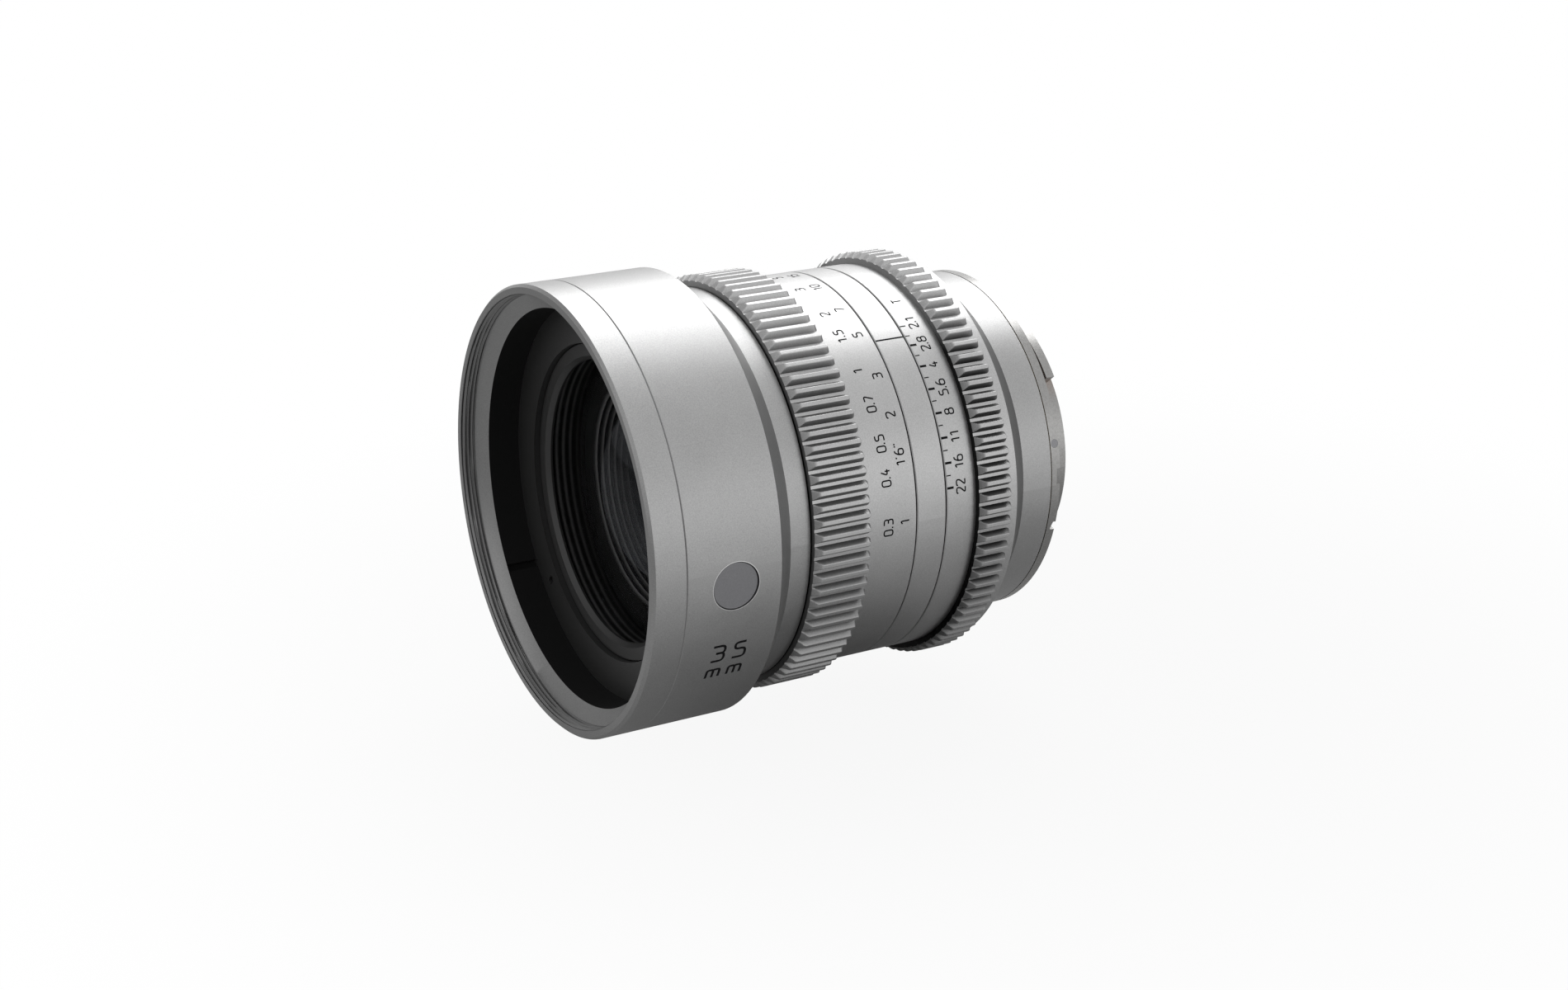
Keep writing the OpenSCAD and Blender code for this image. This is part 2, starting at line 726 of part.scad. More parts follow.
module iris_cover() {
    color(black) difference() {
        tube(cam_ring_in_r - cover_lip, cell_r, iris_cover_front, housing_front);
        for (a = iris_screw_angles) {
            axial_bar(a, rim_mid_r, iris_cover_front - cut, housing_front + cut, screw_r + seat_fit);
            axial_bar(a, rim_mid_r, iris_cover_front - cut, iris_cover_front + iris_head_h,
                screw_head_r + seat_fit);
        }
    }
}

module iris_screws() {
    color(steel) for (a = iris_screw_angles) {
        axial_bar(a, rim_mid_r, iris_cover_front + seat_gap, housing_front + iris_screw_depth - end_gap,
            screw_r);
        axial_bar(a, rim_mid_r, iris_cover_front, iris_cover_front + iris_head_h, screw_head_r);
    }
}

module rear_cell() {
    color(black) turned([[glass5_r + seat_fit, rear_cell_front], [cell_r, rear_cell_front],
        [cell_r, rear_ledge - seat_gap], [rear_cell_r, rear_ledge - seat_gap], [rear_cell_r, rear_end],
        [tube_in_r - tube_gap, rear_end], [tube_in_r - tube_gap, rear_cell_rear],
        [glass7_r + seat_fit, rear_cell_rear], [glass7_r + seat_fit, rear_stop_rear],
        [rear_stop_r, rear_stop_rear], [rear_stop_r, rear_stop_front],
        [glass5_r + seat_fit, rear_stop_front]]);
}

module rear_cell_front_ring() {
    color(black) tube(glass5_r - glass5_lip, glass5_r, rear_cell_front, glass5_edge - thin_gap);
}

module fifth_element() {
    color(glass) element(glass5_r, glass5_edge, glass6_rear, glass5_front, -glass5_front_curve,
        glass5_rear, glass6_front_curve);
}

module sixth_element() {
    color(glass) element(glass5_r, glass5_rear - cut, glass6_rear + cut, glass5_rear, glass6_front_curve,
        glass6_rear, -glass6_rear_curve);
}

module rear_element() {
    color(glass) element(glass7_r, glass7_front - cut, glass7_rear + cut, glass7_front, glass7_curve,
        glass7_rear, -glass7_curve);
}

module rear_cell_ring() {
    color(black) tube(rear_ring_in_r, glass7_r, rear_ring_front, rear_ring_front + rear_ring_t);
}

module rear_barrel() {
    color(silver) difference() {
        turned([[rear_sleeve_in_r, rear_sleeve_front], [rear_sleeve_r, rear_sleeve_front],
            [rear_sleeve_r, rear_front], [cone_r, rear_front], [rear_r, rear_cone_end], [rear_r, rear_end],
            [rear_hub_r, rear_end], [rear_hub_r, rear_ledge], [guide_seat_r, rear_ledge],
            [guide_seat_r, guide_seat_front], [rear_sleeve_in_r, guide_seat_front]]);
        iris_pin_slot(guide_out_r, rear_sleeve_r + cut);
        for (a = dowel_angles) radial_bar(a, dowel_stations[2], guide_in_r, dowel_out_r, dowel_r + seat_fit);
        for (a = screw_angles)
            axial_bar(a, screw_circle_r, rear_end - screw_len, rear_end + cut, screw_r + seat_fit);
    }
}

module mount_shim() {
    color(brass) difference() {
        tube(rear_hub_r, rear_r - shim_inset, rear_end, plate_y);
        for (a = screw_angles)
            axial_bar(a, screw_circle_r, rear_end - cut, plate_y + cut, screw_r + shim_hole_gap);
    }
}

module mount_flange() {
    color(steel) difference() {
        union() {
            tube(tube_in_r, rear_r, plate_y, 0);
            tube(tube_in_r, tube_r, -seat_gap, tube_len);
            for (i = [0:lug_count - 1]) {
                start = first_lug_angle + i * full_turn / lug_count;
                arc_tube(tube_r - lug_root, lug_r, lug_gap, lug_gap + lug_t, start, start + lug_arc);
            }
        }
        for (a = screw_angles) {
            axial_bar(a, screw_circle_r, plate_y - cut, cut, screw_r + seat_fit);
            axial_bar(a, screw_circle_r, -screw_head_h - seat_gap, cut, screw_head_r + seat_fit);
        }
        radial_bar(dot_angle, plate_y / 2, rear_r - dot_depth, rear_r + cut, dot_r + seat_fit);
        radial_block(lock_notch_angle, 0, rear_r - lock_notch_depth, rear_r + cut,
            lock_notch_w, 2 * lock_notch_t);
        radial_block(edge_notch_angle, 0, rear_r - edge_notch_depth, rear_r + cut,
            edge_notch_w, 2 * edge_notch_t);
    }
}

module mount_screws() {
    color(steel) for (a = screw_angles) {
        axial_bar(a, screw_circle_r, rear_end - screw_len + end_gap, -screw_head_h - thin_gap, screw_r);
        axial_bar(a, screw_circle_r, -screw_head_h - seat_gap, -seat_gap, screw_head_r);
    }
}

module mount_dot() {
    color("#7b7d80") radial_bar(dot_angle, plate_y / 2, rear_r - dot_depth, rear_r - seat_fit, dot_r);
}

module rear_baffle() {
    color(black) difference() {
        disc(tube_in_r - seat_fit, baffle_rear - baffle_t, baffle_rear);
        plate(baffle_rear - baffle_t - cut, baffle_rear + cut) square(baffle_window, center = true);
        for (a = baffle_screw_angles)
            axial_bar(a, baffle_screw_circle_r, baffle_rear - baffle_t - cut, baffle_rear + cut,
                baffle_screw_r + seat_fit);
    }
}

module baffle_screws() {
    color(steel) for (a = baffle_screw_angles)
        axial_bar(a, baffle_screw_circle_r, rear_cell_rear + thin_gap, baffle_rear, baffle_screw_r);
}

module focus_ring() {
    color(silver) difference() {
        union() {
            turned([[focus_bore_r, focus_front], [band_r - seam_bevel, focus_front],
                [band_r, focus_front + seam_bevel], [band_r, focus_rear - seam_bevel],
                [band_r - seam_bevel, focus_rear], [focus_bore_r, focus_rear]]);
            difference() {
                gear_band(focus_front, focus_front + focus_gear_len, focus_tooth_angle);
                disc(focus_bore_r, focus_front - cut, focus_rear);
            }
        }
        for (a = key_angles)
            radial_bar(a, key_y, focus_bore_r - cut, focus_bore_r + key_seat, key_r + seat_fit);
    }
}

module cam_sleeve() {
    step = (focus_turn + 2 * cam_slot_spare) / cam_slot_steps;
    climb = atan(focus_travel / (cam_mid_r * PI * focus_turn / (full_turn / 2)));
    block_len = 2 * cam_mid_r * tan(step / 2) + cam_slot_overlap;
    color("#8f7a4d") difference() {
        tube(cam_in_r, cam_out_r, cam_front, cam_rear);
        for (a = roller_angles) {
            for (i = [0:cam_slot_steps - 1]) {
                turn = -focus_near_turn - cam_slot_spare + (i + 0.5) * step;
                radial_block(a + turn, roller_y + focus_travel * turn / focus_turn, cam_in_r - cut,
                    cam_out_r + cut, block_len, 2 * roller_slot_r, -climb);
            }
        }
        for (a = key_angles) radial_bar(a, key_y, cam_in_r - cut, cam_out_r + cut, key_r + seat_fit);
        arc_tube(cam_in_r - cut, cam_out_r + cut, cam_rear - stop_depth, cam_rear + cut,
            stop_angle - focus_near_turn - stop_slot_spare, stop_angle + focus_far_turn + stop_slot_spare);
    }
}

module sleeve_keys() {
    color(steel) for (a = key_angles)
        radial_bar(a, key_y, cam_in_r + seat_gap, focus_bore_r + key_seat - seat_gap, key_r);
}

module focus_cell() {
    color(black) difference() {
        turned([[glass3_r - glass3_seat_w, focus_cell_front], [focus_cell_r, focus_cell_front],
            [focus_cell_r, focus_cell_rear], [glass3_r + seat_fit, focus_cell_rear],
            [glass3_r + seat_fit, glass3_seat], [glass3_r - glass3_seat_w, glass3_seat]]);
        for (a = roller_angles)
            radial_bar(a, roller_y, focus_cell_r - pin_seat, focus_cell_r + cut, roller_pin_r + seat_fit);
    }
}

module third_element() {
    color(glass) element(glass3_r, glass3_front - cut, glass3_rear + cut, glass3_front, glass3_front_curve,
        glass3_rear, -glass3_rear_curve);
}

module fourth_element() {
    color(glass) element(glass3_r, glass3_front, glass4_edge, glass3_rear, -glass3_rear_curve,
        glass4_rear, glass4_rear_curve);
}

module focus_cell_ring() {
    from = glass4_edge + thin_gap;
    color(black) tube(glass3_r - glass4_lip, glass3_r, from, from + focus_ring_t);
}

module cam_rollers() {
    color(brass) for (a = roller_angles) difference() {
        radial_bar(a, roller_y, guide_in_r + seat_gap, cam_out_r - seat_gap, roller_r);
        radial_bar(a, roller_y, guide_in_r - cut, cam_out_r + cut, roller_pin_r + running_fit);
    }
}

module roller_pins() {
    color(steel) for (a = roller_angles)
        radial_bar(a, roller_y, focus_cell_r - pin_seat + seat_gap, cam_out_r - seat_gap, roller_pin_r);
}

module iris_ring() {
    gear_front = iris_front + iris_scale_len;
    color(silver) difference() {
        union() {
            turned([[iris_bore_r, iris_front], [band_r - seam_bevel, iris_front],
                [band_r, iris_front + seam_bevel], [band_r, iris_rear], [iris_bore_r, iris_rear]]);
            difference() {
                gear_band(gear_front, gear_front + iris_gear_len, iris_tooth_angle);
                disc(iris_bore_r, iris_front - cut, iris_rear + cut);
            }
            tube(iris_bore_r, strip_r, gear_front + iris_gear_len - strip_overlap, iris_rear);
        }
        radial_bar(iris_pin_angle, iris_pin_y, iris_bore_r - cut, iris_bore_r + iris_pin_seat,
            iris_pin_d / 2 + seat_fit);
    }
}

module iris_drive_pin() {
    color(steel) radial_bar(iris_pin_angle, iris_pin_y, cam_ring_r - cam_pin_seat + seat_gap,
        iris_bore_r + iris_pin_seat - seat_gap, iris_pin_d / 2);
}

module iris_cam_ring() {
    turns = [for (i = [0:drive_slot_steps])
        -drive_slot_spare + i * (iris_turn + 2 * drive_slot_spare) / drive_slot_steps];
    middle = [for (t = turns) drive_pin_point(t)];
    across = [for (t = turns) let (d = drive_pin_point(t + small_turn) - drive_pin_point(t - small_turn))
        [-d[1], d[0]] * drive_slot_r / norm(d)];
    last = len(turns) - 1;
    color("#6f6a58") difference() {
        tube(cam_ring_in_r, cam_ring_r, cam_ring_front, cam_ring_rear);
        for (k = [0:blade_count - 1])
            plate(cam_ring_front - cut, cam_ring_rear + cut) rotate(k * full_turn / blade_count)
                polygon(concat([for (i = [0:last]) middle[i] + across[i]],
                    [for (i = [last:-1:0]) middle[i] - across[i]]));
        radial_bar(iris_pin_angle, iris_pin_y, cam_ring_r - cam_pin_seat, cam_ring_r + cut,
            iris_pin_d / 2 + seat_fit);
    }
}

// Crescent blade with its pivot pin behind, its lever and its drive pin in front
module iris_blade(i) {
    blade_front = blades_front + (i - 1) * blade_pitch;
    blade_back = blade_front + blade_t;
    blade_middle = (blade_front + blade_back) / 2;
    middle_r = (blade_in_r + blade_out_r) / 2;
    reach = 2 * blade_out_r;
    color("#3b3d42") rotate([0, -full_turn / blade_count * (i - 1), 0]) translate([blade_pivot_r, 0, 0])
        rotate([0, -blade_ratio * iris_open_turn, 0]) {
            plate(blade_front, blade_back) {
                translate([-blade_pivot_r, 0]) {
                    intersection() {
                        difference() {
                            circle(blade_out_r);
                            circle(blade_in_r);
                        }
                        polygon(concat([[0, 0]], [for (k = [0:blade_corners]) turned_point([reach, 0],
                            k * (blade_arc + blade_tail) / blade_corners - blade_tail)]));
                    }
                    rotate(blade_arc) translate([middle_r, 0]) circle((blade_w - blade_edge) / 2);
                }
                circle(pivot_boss_r);
                translate([-blade_neck - blade_merge, -pivot_boss_r + blade_edge])
                    square([blade_neck + blade_merge, 2 * (pivot_boss_r - blade_edge)]);
                translate([-drive_boss_r + blade_edge, -lever_len])
                    square([2 * (drive_boss_r - blade_edge), lever_len]);
                translate([0, -lever_len]) circle(drive_boss_r);
            }
            translate([0, base_rear, 0]) rotate([90, 0, 0])
                cylinder(r = pivot_pin_r, h = base_rear - blade_middle);
            translate([0, blade_middle, -lever_len]) rotate([90, 0, 0])
                cylinder(r = drive_pin_r, h = blade_middle - cam_ring_front);
        }
}

front_ring();
front_barrel();
blank_badge();
front_sleeve();
front_retaining_ring();
front_bezel();
front_cell();
front_element();
ridged_spacer();
second_element();
front_cell_ring();
guide_tube();
dowel_pins();
index_band();
focus_stop_pin();
front_slip_washer();
rear_slip_washer();
iris_housing();
iris_cover();
iris_screws();
rear_cell();
rear_cell_front_ring();
fifth_element();
sixth_element();
rear_element();
rear_cell_ring();
rear_barrel();
mount_shim();
mount_flange();
mount_screws();
mount_dot();
rear_baffle();
baffle_screws();
focus_ring();
cam_sleeve();
sleeve_keys();
focus_cell();
third_element();
fourth_element();
focus_cell_ring();
cam_rollers();
roller_pins();
iris_ring();
iris_drive_pin();
iris_cam_ring();
for (i = [1:blade_count]) iris_blade(i);
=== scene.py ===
# %% [markdown]
# # A cinema prime lens
# A cinema prime is a barrel of glass with two geared rings: one focuses, the other closes the iris.
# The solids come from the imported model, which holds every piece at its real size and knows how it moves.
# This lesson dresses them: it sets up the camera, the finishes, the gear teeth, the scales and the light.

# %% Load the solids
import json
import math

import bpy
import numpy as np
from mathutils import Matrix, Vector


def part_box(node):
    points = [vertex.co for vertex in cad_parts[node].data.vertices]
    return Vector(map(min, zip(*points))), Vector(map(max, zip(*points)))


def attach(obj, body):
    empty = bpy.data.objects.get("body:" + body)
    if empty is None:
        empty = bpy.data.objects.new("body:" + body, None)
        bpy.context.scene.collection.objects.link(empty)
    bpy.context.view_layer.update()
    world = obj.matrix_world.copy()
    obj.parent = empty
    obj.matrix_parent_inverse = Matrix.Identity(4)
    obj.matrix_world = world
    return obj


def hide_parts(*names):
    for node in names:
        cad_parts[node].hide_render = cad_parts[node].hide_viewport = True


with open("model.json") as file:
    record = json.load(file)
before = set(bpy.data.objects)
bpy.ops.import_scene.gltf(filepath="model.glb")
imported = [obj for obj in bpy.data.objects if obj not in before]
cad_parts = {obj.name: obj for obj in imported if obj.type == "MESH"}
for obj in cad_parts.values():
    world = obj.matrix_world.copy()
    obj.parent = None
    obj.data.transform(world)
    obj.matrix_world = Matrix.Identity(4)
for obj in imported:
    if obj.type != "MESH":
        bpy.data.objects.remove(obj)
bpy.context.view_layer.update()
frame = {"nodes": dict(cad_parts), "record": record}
nodes = frame["nodes"]
MM = 0.001
FULL_TURN = 2 * math.pi

# %% [markdown]
# ## Stations and radii
# On the real lens every piece has a station along the optical axis, from the front rim to the flange.
# The stations could be typed in, but reading them from the solids keeps the looks right when a size changes.
# The axis is Y: the front of the lens faces -Y and the flange that meets the camera lies at 0.
# Angles turn about the axis from +X towards +Z, and sizes in this script are in millimetres.

# %% Read the stations from the solids
REAR_GAP = 0.2
REAR_CONE_LEN = 4.3


def station(node):
    """Front and rear of a node along the axis, in millimetres."""
    low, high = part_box(node)
    return low[1] / MM, high[1] / MM


def radius(node):
    """Outside radius of a round node, in millimetres."""
    low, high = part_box(node)
    return (high[0] - low[0]) / 2 / MM


lens_front, front_ring_rear = station("front_ring")
focus_front, focus_rear = station("focus_ring")
index_front, index_rear = station("index_band")
iris_front, iris_rear = station("iris_ring")
rear_front = iris_rear + REAR_GAP
rear_cone_end = rear_front + REAR_CONE_LEN
front_r = radius("front_ring")
band_r = radius("index_band")
tip_r = radius("focus_ring")
print("front at", round(lens_front, 2), "front radius", round(front_r, 2), "tooth tips", round(tip_r, 2))

# %% [markdown]
# ## The camera
# The photograph was taken from the right of the lens, a little in front of it and above it.
# A camera can be aimed with a constraint, but a matrix made of its three axes leaves nothing to chance.
# Azimuth is counted from a straight look along +Y, and the focal length is for a 36 mm wide sensor.

# %% Place the camera
VIEW_AZIMUTH = math.radians(60.02)
VIEW_ELEVATION = math.radians(19.43)
EYE = Vector((373.16, -254.02, 147.09)) * MM
FOCAL_LENGTH = 57.31
SENSOR_WIDTH = 36
NEAREST = 0.01

back = Vector((math.sin(VIEW_AZIMUTH) * math.cos(VIEW_ELEVATION),
               -math.cos(VIEW_AZIMUTH) * math.cos(VIEW_ELEVATION), math.sin(VIEW_ELEVATION)))
right = Vector((math.cos(VIEW_AZIMUTH), math.sin(VIEW_AZIMUTH), 0))
up = back.cross(right)
camera_data = bpy.data.cameras.new("camera")
camera_data.lens = FOCAL_LENGTH
camera_data.sensor_width = SENSOR_WIDTH
camera_data.clip_start = NEAREST
camera = bpy.data.objects.new("camera", camera_data)
camera.matrix_world = Matrix.Translation(EYE) @ Matrix((right, up, back)).transposed().to_4x4()
bpy.context.scene.collection.objects.link(camera)
bpy.context.scene.camera = camera
bpy.context.scene.view_settings.view_transform = "Standard"
print("camera at", [round(value, 3) for value in camera.location])

# %% [markdown]
# ## Shader maths in Python
# A finish is a small graph of nodes. Wiring each Math node by hand hides the idea behind the plumbing.
# This class wraps one output socket: arithmetic on it adds the Math nodes, and `node` adds any other kind.

# %% A socket that understands arithmetic
class Flow:
    """One output socket of a node tree. Arithmetic on it adds Math nodes to that tree."""

    def __init__(self, tree, socket=None):
        self.tree = tree
        self.socket = socket

    def node(self, kind, settings=None, sockets=None, out=0):
        """Adds a node: its settings first, then the values or links of its sockets."""
        made = self.tree.nodes.new(kind)
        for name, value in (settings or {}).items():
            setattr(made, name, value)
        for name, value in (sockets or {}).items():
            if isinstance(value, Flow):
                self.tree.links.new(value.socket, made.inputs[name])
            else:
                made.inputs[name].default_value = value
        return Flow(self.tree, made.outputs[out] if made.outputs else None)

    def math(self, operation, *values):
        return self.node("ShaderNodeMath", {"operation": operation}, dict(enumerate(values)))

    def __add__(self, other):
        return self.math("ADD", self, other)

    def __sub__(self, other):
        return self.math("SUBTRACT", self, other)

    def __rsub__(self, other):
        return self.math("SUBTRACT", other, self)

    def __mul__(self, other):
        return self.math("MULTIPLY", self, other)

    def __truediv__(self, other):
        return self.math("DIVIDE", self, other)

    __radd__ = __add__
    __rmul__ = __mul__

    def greatest(self, other):
        return self.math("MAXIMUM", self, other)

    def shade(self, dark, light):
        """A colour between dark and light, by this value from 0 to 1."""
        ends = [colour if isinstance(colour, Flow) else (*colour, 1.0) for colour in (dark, light)]
        return self.node("ShaderNodeMix", {"data_type": "RGBA"}, {0: self, 6: ends[0], 7: ends[1]}, out=2)


print("shader maths ready")

# %% [markdown]
# ## Places, waves and grain
# A real finish follows the piece it is on: lathe lines run round the axis, and blasted grain has one size.
# It could be painted on an unwrapped picture, but places in the part's own frame need no unwrapping.
# So lines are sine waves of such a place, and grain is noise at its real size in millimetres.

# %% Building blocks of the finishes
GRAIN_ROUGHNESS = 0.6


def along(vector, axis):
    """One coordinate of a vector."""
    return vector.node("ShaderNodeSeparateXYZ", None, {0: vector}, out=axis)


def rise(value, first, last, kind="LINEAR"):
    """Grows from 0 to 1 as a value goes from first to last."""
    return value.node("ShaderNodeMapRange", {"interpolation_type": kind},
                      {"Value": value, "From Min": first, "From Max": last})


def wave(value):
    """A sine wave from 0 to 1."""
    return value.math("SINE", value) * 0.5 + 0.5


def place(start):
    """The point being shaded, in the part's frame, in millimetres."""
    point = start.node("ShaderNodeTexCoord", out="Object")
    return start.node("ShaderNodeVectorMath", {"operation": "SCALE"}, {0: point, "Scale": 1 / MM})


def from_axis(start):
    """Distance of the shaded point from the optical axis, in millimetres."""
    flat = start.node("ShaderNodeVectorMath", {"operation": "MULTIPLY"}, {0: place(start), 1: (1, 0, 1)})
    return start.node("ShaderNodeVectorMath", {"operation": "LENGTH"}, {0: flat}, out="Value")


def grain(start, size, detail=2.0):
    """Noise from 0 to 1 whose lumps are about size millimetres across."""
    return start.node("ShaderNodeTexNoise", None, {
        "Vector": place(start), "Scale": 1 / size, "Detail": detail, "Roughness": GRAIN_ROUGHNESS})


def bump(start, height, depth):
    """A normal bent by a height from 0 to 1 that stands for depth millimetres."""
    return start.node("ShaderNodeBump", None, {"Strength": 1.0, "Distance": depth * MM, "Height": height})


print("building blocks ready")

# %% [markdown]
# ## From a graph to a material
# Each finish of the lens is one material. It could start from the nodes that Blender puts in a new one.
# An empty tree is safer, because nothing is left in it by accident.
# It ends in one Principled shader, which covers metal, paint and glass alike.

# %% Start and end of a material
def new_tree(name):
    """An empty material and a Flow to add its nodes with."""
    material = bpy.data.materials.new(name)
    material.use_nodes = True
    material.node_tree.nodes.clear()
    return material, Flow(material.node_tree)


def surface(start, shader):
    """Sends a shader to the material's output."""
    start.node("ShaderNodeOutputMaterial", None, {"Surface": shader})


def principled(start, sockets):
    """Ends a material in a Principled shader with these sockets."""
    surface(start, start.node("ShaderNodeBsdfPrincipled", None, sockets))


print("material helpers ready")

# %% [markdown]
# ## Silver shells
# The shells are aluminium, blasted with fine beads and anodised: even, matte and very finely grained.
# The dents could be modelled, but at a fifth of a millimetre a noise in colour and bump does as well.
# Meshes made later mark faces between the teeth for painted shade, and this finish is darker there.
# It stands for light lost over many bounces in such a gap, without the noise of long light paths.
# The cone of the rear barrel faces away from the light, and it gets painted shade too.

# %% Bead-blasted silver
BEAD_SIZE = 0.2
BEAD_DEPTH = 0.007
CLOUD_SIZE = 9.0
# Painted shade: its greatest darkening, its strength on the rear cone, and the heights where it fades
PAINTED_SHADE_DARK = 0.42
CONE_SHADE = 1.5
OPEN_FROM = 26.0
OPEN_TO = 34.0


def blasted_silver(name, grey, cone=(0, 0), open_top=0.0):
    """Blasted aluminium about a grey, with painted shade where a mesh is marked for it and on a cone's
    stations.
    The painted shade fades by open_top near the top of the lens, where light reaches between the teeth."""
    material, start = new_tree(name)
    fine = grain(start, BEAD_SIZE)
    cloud = grain(start, CLOUD_SIZE, 3.0)
    marked = start.node("ShaderNodeAttribute", {"attribute_name": "painted_shade"}, out="Fac")
    height = along(start.node("ShaderNodeNewGeometry", out="Position"), "Z") / MM
    # painted shade fades towards the top of the lens, by height in the world
    shade_below_top = 1 - open_top * rise(height, OPEN_FROM, OPEN_TO)
    middle = (cone[0] + cone[1]) / 2
    reach = (cone[1] - cone[0]) / 2
    on_cone = start.math("COMPARE", along(place(start), "Y"), middle, reach)
    # painted shade between the teeth, in the thread and on the rear cone darkens the colour
    painted_shade = (marked * shade_below_top).greatest(on_cone * CONE_SHADE)
    principled(start, {
        "Base Color": (0.65 + 0.55 * fine + 0.15 * cloud) * grey * (1 - PAINTED_SHADE_DARK * painted_shade),
        "Roughness": 0.36 + 0.08 * cloud,
        "Metallic": 1.0,
        "Normal": bump(start, fine, BEAD_DEPTH)})
    return material


SILVER = blasted_silver("blasted_silver", 0.34)
# the rings get painted shade between their teeth, fading near the top of the lens
RING_SILVER = blasted_silver("blasted_ring_silver", 0.41, open_top=1.0)
# the rear barrel gets painted shade on its cone
REAR_SILVER = blasted_silver("blasted_rear_silver", 0.34, (rear_front, rear_cone_end))
print("silver finishes: 3")

# %% [markdown]
# ## Black inside
# Black anodising keeps stray light out of the picture, and the cutting tool's faint lines show through it.
# The lines could be cut into a mesh, but they are too fine for one. A wave that bends the normal will do.
# The baffle behind the front glass is ridged, and a painted highlight lightens the crests of its ridges.
# The cell round that glass gets painted ridges too: the baffle's ridges as real glass would bend them into
# view.

# %% Black finishes
BLACK_GRAIN = 0.25
LINE_DEPTH = 0.004


def black_anodised(name, grey, roughness, line_gap, sheen):
    """Black anodised metal with faint turning lines line_gap millimetres apart."""
    material, start = new_tree(name)
    lines = wave((from_axis(start) + along(place(start), "Y")) * (FULL_TURN / line_gap))
    fine = grain(start, BLACK_GRAIN)
    tone = lines * 0.4 + fine * 0.6
    principled(start, {
        "Base Color": tone.shade((grey * 0.8,) * 3, (grey * 1.2,) * 3),
        "Roughness": roughness + 0.08 * fine,
        "Specular IOR Level": sheen,
        "Normal": bump(start, lines, LINE_DEPTH)})
    return material


def ridged_black(name, node, ridges, light):
    """Black over a node's stations, with painted highlights on the ridges' crests, weaker at the rear."""
    material, start = new_tree(name)
    front, rear = station(node)
    depth = (along(place(start), "Y") - front) / (rear - front)
    crest = wave(depth * (FULL_TURN * ridges) - math.pi / 2)
    fine = grain(start, BLACK_GRAIN)
    principled(start, {
        # painted highlight on each crest, fading to the rear
        "Base Color": 0.006 + light * crest * crest * (1 - depth) * (0.8 + 0.4 * fine),
        "Roughness": 0.55 + 0.1 * fine,
        "Specular IOR Level": 0.1})
    return material


MATTE_BLACK = black_anodised("matte_black", 0.009, 0.7, 0.35, 0.2)
SATIN_BLACK = black_anodised("satin_black", 0.012, 0.5, 0.35, 0.25)
RING_GREY = black_anodised("ring_grey", 0.03, 0.38, 0.25, 0.6)
BLADE = black_anodised("blade_coating", 0.008, 0.6, 0.3, 0.1)
# painted crest highlights on the baffle
RIDGE_BLACK = ridged_black("ridge_black", "ridged_spacer", 6, 0.16)
# painted image of the baffle's lit ridges on the front glass's cell
CELL_BLACK = ridged_black("cell_black", "front_element", 7, 0.32)
print("black finishes: 6")

# %% [markdown]
# ## Steel and other metals
# The mount is turned steel, with lines round the axis, and a brown reflection is painted inside the bayonet.
# Anisotropic shading could smear its highlights, but fine lines that bend the normal need fewer settings.
# Screws, pins and discs are small, so they get a plain mottle between two colours.

# %% Metal finishes
STEEL_LINE_GAP = 0.12
STEEL_LINE_DEPTH = 0.002
PAINTED_REFLECTION_R = (26.2, 25.6)
PAINTED_REFLECTION_HEIGHT = (12.0, 16.0)


def turned_steel(name, painted_reflection):
    """Turned steel with a fine mottle; the second argument is the strength of a brown reflection painted
    inside the bayonet.
    """
    material, start = new_tree(name)
    lines = wave(from_axis(start) * (FULL_TURN / STEEL_LINE_GAP))
    fine = grain(start, 0.4, 4.0)
    # painted reflection: a brown tint on the upper inside of the bayonet
    inside = rise(from_axis(start), *PAINTED_REFLECTION_R) * painted_reflection
    upper = rise(along(place(start), "Z"), *PAINTED_REFLECTION_HEIGHT)
    steel = fine.shade((0.21, 0.208, 0.203), (0.37, 0.367, 0.362))
    principled(start, {
        "Base Color": (inside * upper).shade(steel, (0.22, 0.14, 0.10)),
        "Roughness": 0.24 + 0.1 * lines,
        "Metallic": 1.0,
        "Normal": bump(start, lines, STEEL_LINE_DEPTH)})
    return material


def plain_metal(name, dark, light, roughness):
    """Machined metal with a fine mottle between two colours."""
    material, start = new_tree(name)
    fine = grain(start, 0.3)
    principled(start, {
        "Base Color": fine.shade(dark, light),
        "Roughness": roughness + 0.1 * fine,
        "Metallic": 0.9})
    return material


STEEL = turned_steel("turned_steel", 0.0)
# the mount gets half the painted brown reflection
MOUNT_STEEL = turned_steel("mount_steel", 0.5)
BRASS = plain_metal("machined_brass", (0.55, 0.40, 0.18), (0.68, 0.52, 0.26), 0.3)
BADGE_GREY = plain_metal("badge_grey", (0.20, 0.20, 0.21), (0.27, 0.27, 0.28), 0.4)
# metal far brighter than the shell: real reflection plus a painted highlight for the badge's edge
RIM_HIGHLIGHT_METAL = plain_metal("rim_highlight_metal", (0.60, 0.60, 0.60), (0.75, 0.75, 0.75), 0.25)
print("metal finishes: 5")

# %% [markdown]
# ## Paint, plastic and glass
# The engraving is filled with matte paint, so that it stays dark where the metal round it shines.
# The glass could refract, but through a stack of elements that is slow and noisy.
# So it is clear, with a faint mirror on it that grows towards its edge, and the inside shows cleanly.

# %% Paint, plastic and glass finishes
def engraved_paint():
    """Matte black paint."""
    material, start = new_tree("engraved_paint")
    fine = grain(start, 0.12)
    principled(start, {
        "Base Color": fine.shade((0.008, 0.008, 0.009), (0.02, 0.02, 0.021)),
        "Roughness": 0.7 + 0.2 * fine,
        "Specular IOR Level": 0.05})
    return material


